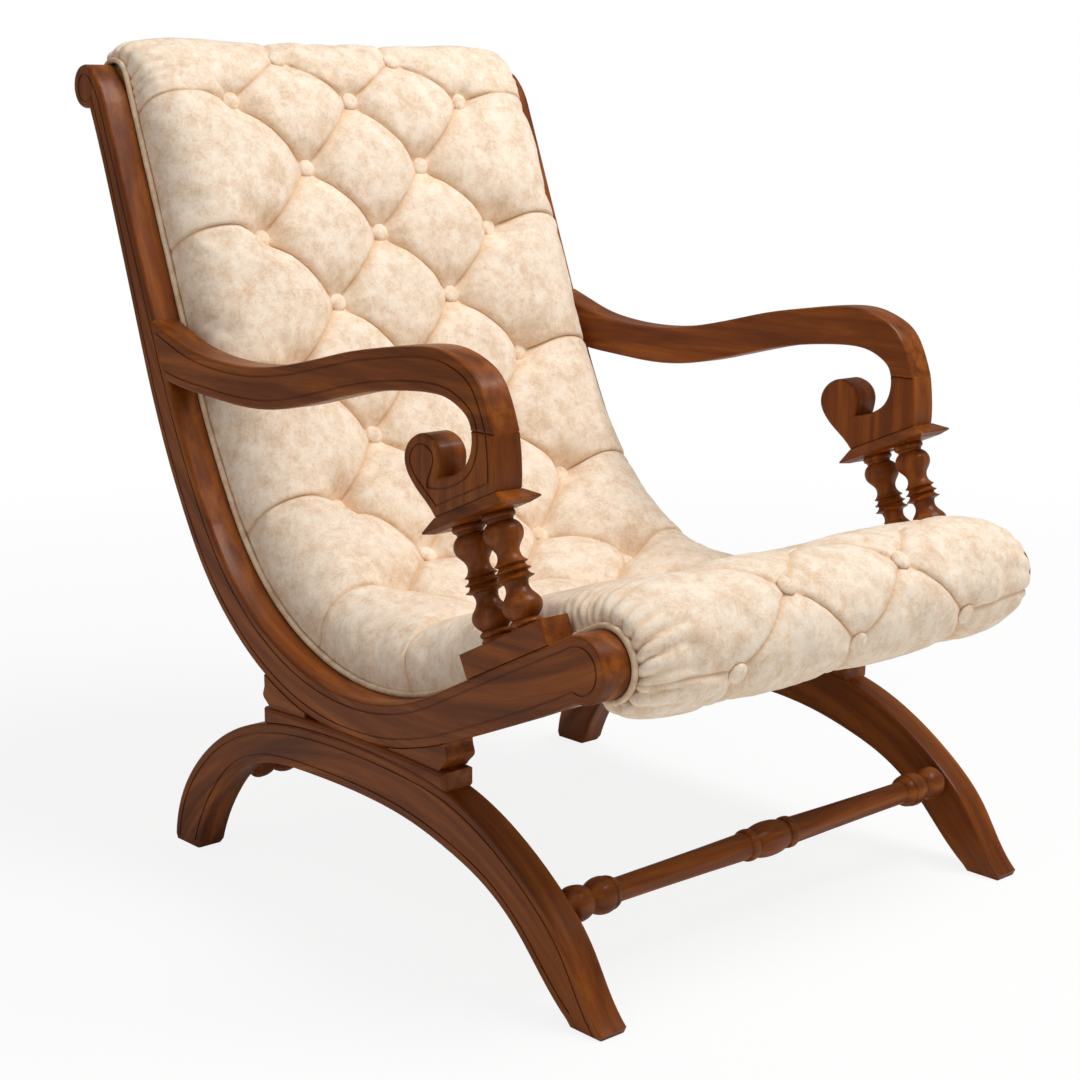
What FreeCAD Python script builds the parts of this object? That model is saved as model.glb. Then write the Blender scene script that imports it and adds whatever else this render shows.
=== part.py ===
import FreeCAD, Part
import math
import os

# A planters chair: two curved side rails on arched legs, scrolled arms on turned
# spindles, and a button-tufted pad slung between the rails.
# Millimetres. X runs across the chair, the sitter faces -Y, Z is up, the floor is Z = 0.
# One side is drawn at negative X, the sitter's right, and mirrored.
# A seat line in the YZ plane, the front edge of the side rail, places nearly everything:
# "along" is the distance down that line from the crest, "rise" the distance off it
# towards the sitter, so a negative rise lies inside the rail.

V = FreeCAD.Vector
os.makedirs("parts", exist_ok=True)

# Frame widths and wood thicknesses
FRAME_WIDTH = 640.0
RAIL_THICKNESS = 36.0
LEG_THICKNESS = 34.0
ARM_THICKNESS = 35.0
ARM_PROUD = 3.3
ARRIS = 3.0
OVERRUN = 5.0
FIT_GAP = 0.2
SOFT_GAP = 0.3

# Seat line: crest roll, raked back, two bends, rising seat, front roll
BACK_RAKE = 20.7
BACK_STRAIGHT = 344.0
WAIST_TURN = 10.8
WAIST_RADIUS = 980.0
SEAT_RISE = 26.1
SEAT_RADIUS = 298.0
SEAT_STRAIGHT = 224.0
CREST_RADIUS = 24.0
CREST_WRAP = 200.0
NOSE_RADIUS = 32.5
NOSE_WRAP = 225.0

# Side rail, its width at shares of the seat line, and its top scroll
RAIL_WIDTH = 44.0
RAIL_WIDTH_SHARES = (
    (0.0, 0.75), (0.11, 0.75), (0.2, 0.84), (0.28, 0.93), (0.37, 0.98), (0.46, 1.0),
    (0.6, 1.02), (0.72, 1.0), (0.78, 1.06), (0.83, 1.17), (0.9, 1.28), (1.0, 1.32),
)
SCROLL_RADIUS = 24.5
SCROLL_DEPTH = 32.3
SCROLL_LEAD = 31.4

# Carved line along both edges of the outer faces
LINE_INSET = 9.0
LINE_WIDTH = 2.2
LINE_DEPTH = 1.3

# Arched legs: outline as shares of span and height, from the front toe
ARCH_SPAN = 738.0
ARCH_HEIGHT = 198.0
TOE_LEAD_SHARE = 0.5214
FOOT_BEVEL = 6.0
ARCH_TOP_SHARES = (
    (0.9965, 0.035), (0.973, 0.31), (0.922, 0.556), (0.85, 0.762), (0.737, 0.929),
    (0.62, 0.99), (0.517, 1.0), (0.415, 0.985), (0.31, 0.93), (0.205, 0.768),
    (0.137, 0.6), (0.073, 0.37), (0.03, 0.12), (0.008, 0.03),
)
ARCH_INNER_SHARES = (
    (0.075, 0.03), (0.129, 0.21), (0.172, 0.37), (0.24, 0.535), (0.307, 0.626),
    (0.375, 0.69), (0.51, 0.74), (0.637, 0.738), (0.748, 0.69), (0.817, 0.575),
    (0.877, 0.353), (0.904, 0.202), (0.925, 0.03),
)

# Saddle between leg and rail: a moulded pad, with a wedge over each end
SADDLE_FRONT_REACH = 154.5
SADDLE_REAR_REACH = 155.4
SADDLE_PROUD = 3.0
SADDLE_ARRIS = 4.5
SADDLE_NEST = 5.0
PAD_END_THICKNESS = 19.0
PAD_ARCH = 4.5
WEDGE_REAR_HEIGHT = 26.0
WEDGE_FRONT_HEIGHT = 30.0
WEDGE_NECK = 9.0
WEDGE_REAR_REACH = 74.0
WEDGE_FRONT_REACH = 92.0

# Base block on the rail, arm plate, spindles between them
BLOCK_SETBACK = 31.5
BLOCK_LENGTH = 129.0
BLOCK_HEIGHT = 25.0
BLOCK_ARRIS = 1.5
SPINDLE_LENGTH = 112.2
SPINDLE_RADIUS = 19.6
SPINDLE_SPACING = 47.0
SPINDLE_LEAN = 3.5
SPINDLE_LEAD = 3.5
SPINDLE_TENON_RADIUS = 7.0
SPINDLE_TENON_LENGTH = 12.0
PLATE_LEAD = 1.5
PLATE_LENGTH = 124.8
PLATE_WIDTH = 50.0
PLATE_TOP_BEVEL = 10.3
PLATE_UNDER_BEVEL = 3.0
PLATE_PROUD = 8.0
PLATE_SIDE_INSET = 8.0
PLATE_FRONT_INSET = 14.0
PLATE_REAR_INSET = 14.0
PLATE_UNDER_INSET = 8.0
PLATE_EDGE = 1.6

# Arm and its scroll end, as shares of the way from the foot's front corner to the rail
ARM_JOIN = 287.0
ARM_TOP_SHARES = (
    (1.0, 1.0), (0.943, 0.893), (0.892, 0.804), (0.807, 0.723), (0.722, 0.696),
    (0.638, 0.714), (0.553, 0.777), (0.469, 0.866), (0.384, 0.964), (0.3, 1.035),
    (0.215, 1.089), (0.173, 1.103), (0.13, 1.089), (0.088, 1.027), (0.051, 0.92),
    (0.022, 0.7), (0.005, 0.46),
)
ARM_UNDER_SHARES = (
    (0.956, 0.43), (0.892, 0.376), (0.807, 0.34), (0.722, 0.312), (0.638, 0.318),
    (0.553, 0.376), (0.468, 0.474), (0.383, 0.578), (0.299, 0.662), (0.211, 0.709),
    (0.158, 0.718), (0.117, 0.692), (0.088, 0.632), (0.067, 0.55), (0.06, 0.46),
)

# Scroll end: shares of the foot's depth and of the curl's height, from its front corner
CURL_DEPTH = 136.0
CURL_HEIGHT = 92.0
SCROLL_FRONT_SHARES = ((0.0, 0.0), (-0.004, 0.15), (0.003, 0.35))
CURL_SHARES = (
    (0.735, -0.29), (0.846, -0.165), (0.943, -0.03), (0.999, 0.145), (0.977, 0.29),
    (0.897, 0.41), (0.802, 0.459), (0.702, 0.435), (0.625, 0.355), (0.594, 0.255),
    (0.597, 0.145), (0.618, 0.03),
)
GAP_FLOOR_SHARES = (
    (0.618, 0.03), (0.52, 0.055), (0.416, 0.115), (0.318, 0.22), (0.262, 0.39),
)

# Turned profiles: share of the length, share of the largest radius
SPINDLE_SHARES = (
    ((0.0, 0.78), (0.012, 0.82), (0.035, 0.84), (0.055, 0.77), (0.062, 0.7)),
    ((0.062, 0.7), (0.085, 0.66)),
    ((0.085, 0.66), (0.12, 0.88), (0.18, 1.0), (0.24, 0.93), (0.3, 0.68), (0.345, 0.57),
     (0.385, 0.59), (0.44, 0.83)),
    ((0.44, 0.83), (0.446, 0.83)), ((0.446, 0.83), (0.46, 0.66)),
    ((0.46, 0.66), (0.485, 0.74), (0.503, 0.9)),
    ((0.503, 0.9), (0.509, 0.9)), ((0.509, 0.9), (0.524, 0.7)),
    ((0.524, 0.7), (0.55, 0.79), (0.57, 0.96)),
    ((0.57, 0.96), (0.577, 0.96)), ((0.577, 0.96), (0.593, 0.66)),
    ((0.593, 0.66), (0.62, 0.59), (0.66, 0.58), (0.7, 0.68), (0.75, 0.9), (0.8, 1.0),
     (0.85, 0.94), (0.89, 0.78), (0.915, 0.65)),
    ((0.915, 0.65), (0.925, 0.74), (0.95, 0.82), (0.968, 0.76), (0.975, 0.7)),
    ((0.975, 0.7), (1.0, 0.8)), ((1.0, 0.8), (1.012, 0.8)),
)
STRETCHER_RADIUS = 18.6
STRETCHER_TENON_RADIUS = 9.0
STRETCHER_TENON_LENGTH = 22.0
STRETCHER_SHARES = (
    ((0.0, 0.62), (0.012, 0.66), (0.024, 0.88), (0.055, 0.98), (0.09, 0.86), (0.112, 0.66)),
    ((0.112, 0.66), (0.128, 0.84), (0.165, 1.0), (0.19, 0.96)),
    ((0.19, 0.96), (0.197, 0.86)), ((0.197, 0.86), (0.204, 0.93)),
    ((0.204, 0.93), (0.222, 0.82), (0.235, 0.65)),
    ((0.235, 0.65), (0.55, 0.69), (0.875, 0.77)),
    ((0.875, 0.77), (0.88, 0.87), (0.895, 0.91), (0.91, 0.87), (0.915, 0.76)),
    ((0.915, 0.76), (0.945, 0.91), (1.0, 1.0)),
)
FRONT_STRETCHER_SHARES = (0.129, 0.485)
REAR_STRETCHER_SHARES = (0.852, 0.555)

# Cross rails and slats under the pad
SLAT_DEPTH = 10.0
SLAT_THICKNESS = 10.0
SLAT_WIDTH = 46.0
SLAT_HOUSING = 8.0
SLAT_BAYS = 16
WAIST_RAIL_BAY = 5
SEAT_RAIL_BAY = 10
CROSS_RAIL_WIDTH = 50.0
LINING_BACKSET = 3.0
LINING_THICKNESS = 1.2

# Dowels and screws
DOWEL_RADIUS = 4.0
DOWEL_LENGTH = 40.0
DOWEL_SPACING = 24.0
BAR_DOWEL_SPACING = 14.0
SCREW_RADIUS = 3.0
SCREW_HEAD_RADIUS = 5.5
SCREW_HEAD_HEIGHT = 4.0
SCREW_SINK = 6.0
PLATE_SCREW_LENGTH = 46.0
ARM_SCREW_LENGTH = 84.0
LEG_SCREW_LENGTH = 82.0
LEG_SCREW_SHARES = (0.43, 0.58)

# Upholstery: foam on the slats, and the tufted pad over it with its piped edges
FOAM_RISE = 2.0
PIPING_RADIUS = 3.3
PAD_CROWN = 46.0
PAD_SIDE_BULGE = 5.6
PAD_SIDE_FOOT = 4.6
BUTTON_RADIUS = 10.0
BUTTON_HEIGHT = 6.0
BUTTON_RIM = 1.5
BUTTON_SPACING = 172.0
BUTTON_SEAT = 20.0
BUTTON_SINK = 1.0
TUFT_RISE = 28.0
FIRST_ROW_ALONG = 41.4
CREST_ROW_BACK = 58.0
BACK_PITCH = 82.6
BACK_PITCHES = 7
SEAT_PITCH = 74.2
SEAT_PITCHES = 9
SIDE_FOOT_SHARE = 0.2
SIDE_BULGE_SHARE = 0.5
SHOULDER_IN_SHARE = 0.25

# Fullness: 0 at the level of the buttons' seats, 1 at the crown
SHOULDER_FULLNESS = 0.85
SIDE_SEAM_FULLNESS = 0.8
SEAM_FULLNESS = 0.55
SPAN_BOW_SHARE = 0.02
PAD_CROWN_SHARES = (
    (0.0, 0.08), (0.012, 0.12), (0.039, 0.44), (0.06, 0.72), (0.08, 0.94), (0.12, 1.12),
    (0.2, 1.34), (0.3, 1.34), (0.4, 1.42), (0.47, 1.6), (0.53, 1.62), (0.6, 1.5),
    (0.72, 1.52), (0.78, 1.34), (0.84, 1.1), (0.88, 0.88), (0.908, 0.75), (0.93, 0.7),
    (0.97, 0.64), (1.0, 0.5),
)
PAD_SEAT_SHARES = (
    (0.0, 0.05), (0.012, 0.07), (0.039, 0.25), (0.06, 0.39), (0.08, 0.48), (0.12, 0.5),
    (0.35, 0.52), (0.5, 0.63), (0.6, 0.68), (0.75, 0.66), (0.84, 0.55), (0.88, 0.44),
    (0.908, 0.36), (0.93, 0.32), (0.97, 0.29), (1.0, 0.22),
)

HALF_WIDTH = FRAME_WIDTH / 2
RAIL_INNER_X = HALF_WIDTH - RAIL_THICKNESS
RAIL_MID_X = HALF_WIDTH - RAIL_THICKNESS / 2
ARM_OUTER_X = HALF_WIDTH + ARM_PROUD
ARM_MID_X = ARM_OUTER_X - ARM_THICKNESS / 2
SPINDLE_X = (RAIL_MID_X + ARM_MID_X) / 2
LEG_INNER_X = HALF_WIDTH - LEG_THICKNESS


def radians(degrees):
    return degrees * math.pi / 180


def blend(table, share):
    """Value of a table of (share, value) pairs at a share, straight between the pairs."""
    for (low, low_value), (high, high_value) in zip(table, table[1:]):
        if share <= high:
            part = (share - low) / (high - low)
            return low_value + (high_value - low_value) * max(0, part)
    return table[-1][1]


# The seat line as segments of (length, turn); the turn is positive where the pad is hollow.
SEAT_TURN = 90 + SEAT_RISE - BACK_RAKE - WAIST_TURN
SEGMENTS = (
    (CREST_RADIUS * radians(CREST_WRAP), -radians(CREST_WRAP)),
    (BACK_STRAIGHT, 0),
    (WAIST_RADIUS * radians(WAIST_TURN), radians(WAIST_TURN)),
    (SEAT_RADIUS * radians(SEAT_TURN), radians(SEAT_TURN)),
    (SEAT_STRAIGHT, 0),
    (NOSE_RADIUS * radians(NOSE_WRAP), -radians(NOSE_WRAP)),
)
CREST_LENGTH = SEGMENTS[0][0]
RAIL_LENGTH = sum(length for length, turn in SEGMENTS[1:5])
PATH_LENGTH = sum(length for length, turn in SEGMENTS)


def trace(along):
    """Place and heading at a distance from the start of the crest roll, before it is moved."""
    y, z, heading = 0, 0, radians(BACK_RAKE + CREST_WRAP)
    for index, (length, turn) in enumerate(SEGMENTS):
        last = index == len(SEGMENTS) - 1
        step = along if last else min(along, length)
        swing = turn * step / length
        if turn:
            radius = length / turn
            y += radius * (math.cos(heading + swing) - math.cos(heading))
            z -= radius * (math.sin(heading + swing) - math.sin(heading))
        else:
            y -= math.sin(heading) * step
            z -= math.cos(heading) * step
        heading += swing
        along -= step
        if along <= 0:
            break
    return y, z, heading


LOW_ALONG = CREST_LENGTH + BACK_STRAIGHT + SEGMENTS[2][0] + (
    SEAT_RADIUS * radians(90 - BACK_RAKE - WAIST_TURN)
)
LOW_Y, LOW_Z, LOW_HEADING = trace(LOW_ALONG)
LOW_ON_RAIL = LOW_ALONG - CREST_LENGTH


def rail_width(along):
    return RAIL_WIDTH * blend(RAIL_WIDTH_SHARES, along / RAIL_LENGTH)


def place(along, rise=0):
    """(y, z) of a point at a distance along the rail from the crest, and off it by a rise."""
    y, z, heading = trace(CREST_LENGTH + along)
    y += -LOW_Y - math.cos(heading) * rise
    z += SEAT_LOW_HEIGHT - LOW_Z + math.sin(heading) * rise
    return y, z


def heading_at(along):
    return trace(CREST_LENGTH + along)[2]


def level_along(distance, rise):
    """Distance along the seat line of a point measured on the line's own parallel at a rise."""
    passed = -CREST_LENGTH
    for length, turn in SEGMENTS:
        stretch = length - turn * rise
        if distance <= stretch:
            break
        distance -= stretch
        passed += length
    return passed + distance * length / stretch


# Outlines: lists of runs, each a (kind, points) pair, with the wood on the left of the walk.
def straight(start, end):
    return "straight", [start, end]


def arc(start, middle, end):
    return "arc", [start, middle, end]


def free(points):
    return "free", list(points)


def curve_of(kind, points, x=0):
    vectors = [V(x, y, z) for y, z in points]
    if kind == "straight":
        return Part.LineSegment(*vectors)
    if kind == "arc":
        return Part.Arc(*vectors)
    curve = Part.BSplineCurve()
    curve.interpolate(vectors)
    return curve


def left_normals(kind, points):
    """Unit normals to the left of the walk at each point of a run."""
    curve = curve_of(kind, points)
    edge = curve.toShape()
    normals = []
    for index, (y, z) in enumerate(points):
        parameter = curve.parameter(V(0, y, z))
        if index == 0:
            parameter = edge.FirstParameter
        if index == len(points) - 1:
            parameter = edge.LastParameter
        tangent = edge.tangentAt(parameter)
        normals.append((-tangent.z, tangent.y))
    return normals


def drawn_in(runs, inset):
    """The closed outline moved inwards by an inset, with mitred corners."""
    normals = [left_normals(kind, points) for kind, points in runs]
    moved = []
    for index, (kind, points) in enumerate(runs):
        before = normals[index - 1][-1]
        after = normals[(index + 1) % len(runs)][0]
        new_points = []
        for spot, (point, normal) in enumerate(zip(points, normals[index])):
            other = normal
            if spot == 0:
                other = before
            if spot == len(points) - 1:
                other = after
            scale = inset / (1 + normal[0] * other[0] + normal[1] * other[1])
            new_points.append((
                point[0] + (normal[0] + other[0]) * scale,
                point[1] + (normal[1] + other[1]) * scale,
            ))
        moved.append((kind, new_points))
    return moved


def wire_of(runs, x=0):
    return Part.Wire([curve_of(kind, points, x).toShape() for kind, points in runs])


def prism(runs, x_start, x_end):
    face = Part.Face(wire_of(runs, x_start))
    return face.extrude(V(x_end - x_start, 0, 0))


ARRIS_SHARES = ((0.0, 1.0), (0.3, 0.3), (1.0, 0.0))


def board(runs, x_start, x_end, arris):
    """A board cut to an outline, its edges eased on both faces."""
    sections = []
    for x_share, inset_share in ARRIS_SHARES:
        sections.append((x_start + arris * x_share, arris * inset_share))
    for x_share, inset_share in reversed(ARRIS_SHARES):
        sections.append((x_end - arris * x_share, arris * inset_share))
    wires = [wire_of(drawn_in(runs, inset) if inset else runs, x) for x, inset in sections]
    return Part.makeLoft(wires, True, True)


def carved_ring(runs, x_face):
    """The ring-shaped cut of a carved line that follows a closed outline."""
    outer = prism(drawn_in(runs, LINE_INSET), x_face - OVERRUN, x_face + LINE_DEPTH)
    inner = prism(drawn_in(runs, LINE_INSET + LINE_WIDTH), x_face - OVERRUN, x_face + LINE_DEPTH)
    return outer.cut(inner)


def carved_band(kind, points, x_face):
    """The cut of a carved line beside one open edge."""
    normals = left_normals(kind, points)
    edges = []
    for inset in (LINE_INSET, LINE_INSET + LINE_WIDTH):
        edges.append([
            (y + side * inset, z + up * inset) for (y, z), (side, up) in zip(points, normals)
        ])
    near, far = edges
    runs = [free(near), straight(near[-1], far[-1]), free(far[::-1]), straight(far[0], near[0])]
    return prism(runs, x_face - OVERRUN, x_face + LINE_DEPTH)


def rod(start, direction, radius, length):
    return Part.makeCylinder(radius, length, start, direction)


def turned(shares, length, radius, start, direction, mirrored=False):
    """A solid turned about a line from its profile of runs of (length share, radius share)."""
    runs = [[(length * along, radius * out) for along, out in run] for run in shares]
    if mirrored:
        runs += [[(2 * length - along, out) for along, out in run[::-1]] for run in runs[::-1]]
        if len(runs[len(shares) - 1]) > 2:
            barrel = runs[len(shares) - 1] + runs[len(shares)][1:]
            runs[len(shares) - 1:len(shares) + 1] = [barrel]
    edges = []
    for run in runs:
        points = [V(out, 0, along) for along, out in run]
        if len(points) == 2:
            edges.append(Part.LineSegment(*points).toShape())
        else:
            curve = Part.BSplineCurve()
            curve.interpolate(points)
            edges.append(curve.toShape())
    first, last = V(0, 0, runs[0][0][0]), V(0, 0, runs[-1][-1][0])
    edges.insert(0, Part.LineSegment(first, V(runs[0][0][1], 0, runs[0][0][0])).toShape())
    edges.append(Part.LineSegment(V(runs[-1][-1][1], 0, runs[-1][-1][0]), last).toShape())
    edges.append(Part.LineSegment(last, first).toShape())
    solid = Part.Face(Part.Wire(edges)).revolve(V(0, 0, 0), V(0, 0, 1), 360)
    solid.Placement = FreeCAD.Placement(start, FreeCAD.Rotation(V(0, 0, 1), direction))
    return solid


def mirrored(shape):
    return shape.mirror(V(0, 0, 0), V(1, 0, 0))


def offset(point, direction, distance):
    return point[0] + direction[0] * distance, point[1] + direction[1] * distance


def direction_of(heading):
    """Unit vectors down the seat line and off it towards the sitter."""
    down = (-math.sin(heading), -math.cos(heading))
    off = (-math.cos(heading), math.sin(heading))
    return down, off


def space(point, x):
    return V(x, point[0], point[1])


def halfway(first, second):
    return (first[0] + second[0]) / 2, (first[1] + second[1]) / 2


# Arched leg
ARCH_FRONT = -ARCH_SPAN * TOE_LEAD_SHARE


def arch_point(shares):
    return ARCH_FRONT + ARCH_SPAN * shares[0], ARCH_HEIGHT * shares[1]


ARCH_TOP = [arch_point(shares) for shares in ARCH_TOP_SHARES]
ARCH_INNER = [arch_point(shares) for shares in ARCH_INNER_SHARES]


def arch_outline():
    top_end, top_start = ARCH_TOP[-1], ARCH_TOP[0]
    inner_start, inner_end = ARCH_INNER[0], ARCH_INNER[-1]
    toe = (top_end[0] + FOOT_BEVEL / 2, 0)
    toe_back = (inner_start[0] - FOOT_BEVEL, 0)
    heel = (top_start[0] - FOOT_BEVEL / 2, 0)
    heel_front = (inner_end[0] + FOOT_BEVEL, 0)
    return [
        free(ARCH_TOP), straight(top_end, toe), straight(toe, toe_back),
        straight(toe_back, inner_start), free(ARCH_INNER), straight(inner_end, heel_front),
        straight(heel_front, heel), straight(heel, top_start),
    ]


ARCH_RUNS = arch_outline()
arch_blank = board(ARCH_RUNS, -HALF_WIDTH, -LEG_INNER_X, ARRIS)
arch = arch_blank
for edge_points in (ARCH_TOP, ARCH_INNER):
    arch = arch.cut(carved_band("free", edge_points, -HALF_WIDTH))

# Saddle pad on the leg: its top line is bowed, and its ends and top edges are eased
ARCH_TOP_CURVE = curve_of("free", ARCH_TOP)
SADDLE_FRONT = -SADDLE_FRONT_REACH
SADDLE_REAR = SADDLE_REAR_REACH
PAD_STEPS = 8
HALVINGS = 40


def arch_top_at(y):
    """Height of the arch's top edge at a depth."""
    low, high = ARCH_TOP_CURVE.FirstParameter, ARCH_TOP_CURVE.LastParameter
    for step in range(HALVINGS):
        middle = (low + high) / 2
        if ARCH_TOP_CURVE.value(middle).y > y:
            low = middle
        else:
            high = middle
    return ARCH_TOP_CURVE.value((low + high) / 2).z


def pad_top_at(y):
    share = (y - SADDLE_FRONT) / (SADDLE_REAR - SADDLE_FRONT)
    front, rear = arch_top_at(SADDLE_FRONT), arch_top_at(SADDLE_REAR)
    bow = PAD_ARCH * (1 - (2 * share - 1) ** 2)
    return front + (rear - front) * share + PAD_END_THICKNESS + bow


SEAT_LOW_HEIGHT = pad_top_at(0) - SADDLE_NEST + rail_width(LOW_ON_RAIL)

# Side rail: seat line in front, tapering width behind, a scroll on top, a round nose
BACK_DOWN, BACK_OFF = direction_of(radians(BACK_RAKE))
SEAT_DOWN, SEAT_OFF = direction_of(radians(90 + SEAT_RISE))
EYE = place(0, -SCROLL_DEPTH)
NOSE = place(RAIL_LENGTH, -NOSE_RADIUS)
WAIST_START = BACK_STRAIGHT
BEND_START = WAIST_START + SEGMENTS[2][0]
BEND_END = BEND_START + SEGMENTS[3][0]


def around(centre, radius, heading):
    """Point of a circle, given the seat line's heading there."""
    return offset(centre, direction_of(heading)[1], radius)


def rail_outline():
    lead_radius = (SCROLL_LEAD ** 2 + SCROLL_DEPTH ** 2 - SCROLL_RADIUS ** 2) / (
        2 * (SCROLL_DEPTH - SCROLL_RADIUS)
    )
    lead_centre = offset(place(SCROLL_LEAD), BACK_OFF, -lead_radius)
    lead_turn = math.asin(SCROLL_LEAD / (lead_radius - SCROLL_RADIUS))
    rake = radians(BACK_RAKE)
    touch = around(lead_centre, lead_radius, rake + lead_turn)
    lead = arc(touch, around(lead_centre, lead_radius, rake + lead_turn / 2), place(SCROLL_LEAD))
    waist = arc(place(WAIST_START), place((WAIST_START + BEND_START) / 2), place(BEND_START))
    bend = arc(place(BEND_START), place((BEND_START + BEND_END) / 2), place(BEND_END))

    nose_drop = rail_width(RAIL_LENGTH) - NOSE_RADIUS
    nose_back = math.sqrt(NOSE_RADIUS ** 2 - nose_drop ** 2)
    nose_end = offset(offset(NOSE, SEAT_DOWN, -nose_back), SEAT_OFF, -nose_drop)
    nose = arc(place(RAIL_LENGTH), offset(NOSE, SEAT_DOWN, NOSE_RADIUS), nose_end)

    eye_drop = rail_width(0) - SCROLL_DEPTH
    eye_under = math.sqrt(SCROLL_RADIUS ** 2 - eye_drop ** 2)
    eye_end = offset(offset(EYE, BACK_DOWN, eye_under), BACK_OFF, -eye_drop)
    eye = arc(eye_end, offset(EYE, BACK_OFF, -SCROLL_RADIUS), touch)

    outer = [nose_end]
    stations = [share * RAIL_LENGTH for share, width in RAIL_WIDTH_SHARES[1:-1]]
    for lower, upper in zip(stations[::-1], stations[-2::-1]):
        middle = (lower + upper) / 2
        outer.append(place(lower, -rail_width(lower)))
        outer.append(place(middle, -rail_width(middle)))
    outer.append(place(stations[0], -rail_width(stations[0])))
    outer.append(eye_end)
    return [
        lead, straight(place(SCROLL_LEAD), place(WAIST_START)), waist, bend,
        straight(place(BEND_END), place(RAIL_LENGTH)), nose, free(outer), eye,
    ]


RAIL_RUNS = rail_outline()
RAIL_BACK = RAIL_RUNS[6]
rail_blank = board(RAIL_RUNS, -HALF_WIDTH, -RAIL_INNER_X, ARRIS)
rail_blade = prism(RAIL_RUNS, -HALF_WIDTH - RAIL_THICKNESS, -RAIL_INNER_X + RAIL_THICKNESS)
rail = rail_blank.cut(carved_ring(RAIL_RUNS, -HALF_WIDTH))

# Saddle pad and its wedges, trimmed to the arch below and the rail above
pad_depths = []
for step in range(PAD_STEPS + 1):
    pad_depths.append(SADDLE_FRONT + (SADDLE_REAR - SADDLE_FRONT) * step / PAD_STEPS)
PAD_UNDER = [(y, arch_top_at(y)) for y in pad_depths]
PAD_TOP = [(y, pad_top_at(y)) for y in pad_depths]
PAD_RUNS = [
    free(PAD_UNDER), straight(PAD_UNDER[-1], PAD_TOP[-1]),
    free(PAD_TOP[::-1]), straight(PAD_TOP[0], PAD_UNDER[0]),
]
PAD_OUTER_X = HALF_WIDTH + SADDLE_PROUD
PAD_INNER_X = RAIL_INNER_X - SADDLE_PROUD / 2
saddle_pad = board(PAD_RUNS, -PAD_OUTER_X, -PAD_INNER_X, SADDLE_ARRIS)
saddle_pad = saddle_pad.cut(arch_blank).cut(rail_blank)

BACK_LOW, BACK_HIGH = RAIL_BACK[1][0], RAIL_BACK[1][-1]
ROOF_HEIGHT = BACK_HIGH[1] + ARM_JOIN
above_rail_back = prism(
    [RAIL_BACK, straight(BACK_HIGH, (BACK_HIGH[0], ROOF_HEIGHT)),
     straight((BACK_HIGH[0], ROOF_HEIGHT), (BACK_LOW[0], ROOF_HEIGHT)),
     straight((BACK_LOW[0], ROOF_HEIGHT), BACK_LOW)],
    -HALF_WIDTH - RAIL_THICKNESS, -RAIL_INNER_X + RAIL_THICKNESS,
)


def wedge(end, height, reach, inwards):
    """Wedge over one end of the pad: a neck, a round and a fascia up to the rail."""
    foot = pad_top_at(end)
    tip = end + inwards * reach
    neck = (end + inwards * WEDGE_NECK, pad_top_at(end + inwards * WEDGE_NECK))
    fascia = (end, foot + height)
    end_profile = [
        neck, (end + inwards * WEDGE_NECK / 3, foot + height / 4),
        (end - inwards * WEDGE_NECK / 3, foot + height / 2),
        (end - inwards * WEDGE_NECK / 9, foot + height * 3 / 4), fascia,
    ]
    roof = foot + height + reach
    base = []
    for step in range(PAD_STEPS + 1):
        y = tip + (neck[0] - tip) * step / PAD_STEPS
        base.append((y, pad_top_at(y)))
    runs = [
        free(base), free(end_profile), straight(fascia, (end, roof)),
        straight((end, roof), (tip, roof)), straight((tip, roof), base[0]),
    ]
    return prism(runs, -HALF_WIDTH, -RAIL_INNER_X).cut(above_rail_back)


wedge_rear = wedge(SADDLE_REAR, WEDGE_REAR_HEIGHT, WEDGE_REAR_REACH, -1)
wedge_front = wedge(SADDLE_FRONT, WEDGE_FRONT_HEIGHT, WEDGE_FRONT_REACH, 1)

# Base block, standing on the straight of the seat line
BLOCK_MID = place(RAIL_LENGTH - BLOCK_SETBACK - BLOCK_LENGTH / 2)


def slanted_runs(centre, down, off, length, low, high):
    """Outline of a box set along a slanted line, from a low to a high rise off it."""
    corners = [
        offset(offset(centre, down, length / 2), off, low),
        offset(offset(centre, down, -length / 2), off, low),
        offset(offset(centre, down, -length / 2), off, high),
        offset(offset(centre, down, length / 2), off, high),
    ]
    return [straight(corners[index - 1], corners[index]) for index in range(4)]


BLOCK_RUNS = slanted_runs(BLOCK_MID, SEAT_DOWN, SEAT_OFF, BLOCK_LENGTH, 0, BLOCK_HEIGHT)
block_blank = board(BLOCK_RUNS, -HALF_WIDTH, -RAIL_INNER_X, BLOCK_ARRIS)

# Spindles lean a little forward of square to the seat, and the arm plate is square to them
POST_DOWN, POST_OFF = direction_of(radians(90 + SEAT_RISE - SPINDLE_LEAN))
PAIR_FOOT = offset(offset(BLOCK_MID, SEAT_DOWN, SPINDLE_LEAD), SEAT_OFF, BLOCK_HEIGHT)
PLATE_FOOT = offset(PAIR_FOOT, POST_DOWN, PLATE_LEAD)
PLATE_BREAK = SPINDLE_LENGTH + PLATE_UNDER_BEVEL
PLATE_TOP_RISE = PLATE_BREAK + PLATE_EDGE + PLATE_TOP_BEVEL
PLATE_OUTER_X = ARM_OUTER_X + PLATE_PROUD
POST_AXIS = V(0, *POST_OFF)


def plate_section(rise, front_inset, rear_inset, side_inset):
    centre = offset(PLATE_FOOT, POST_OFF, rise)
    front = offset(centre, POST_DOWN, PLATE_LENGTH / 2 - front_inset)
    rear = offset(centre, POST_DOWN, rear_inset - PLATE_LENGTH / 2)
    outer = side_inset - PLATE_OUTER_X
    inner = PLATE_WIDTH - side_inset - PLATE_OUTER_X
    corners = [space(front, outer), space(front, inner), space(rear, inner), space(rear, outer)]
    return Part.makePolygon(corners + corners[:1])


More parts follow.
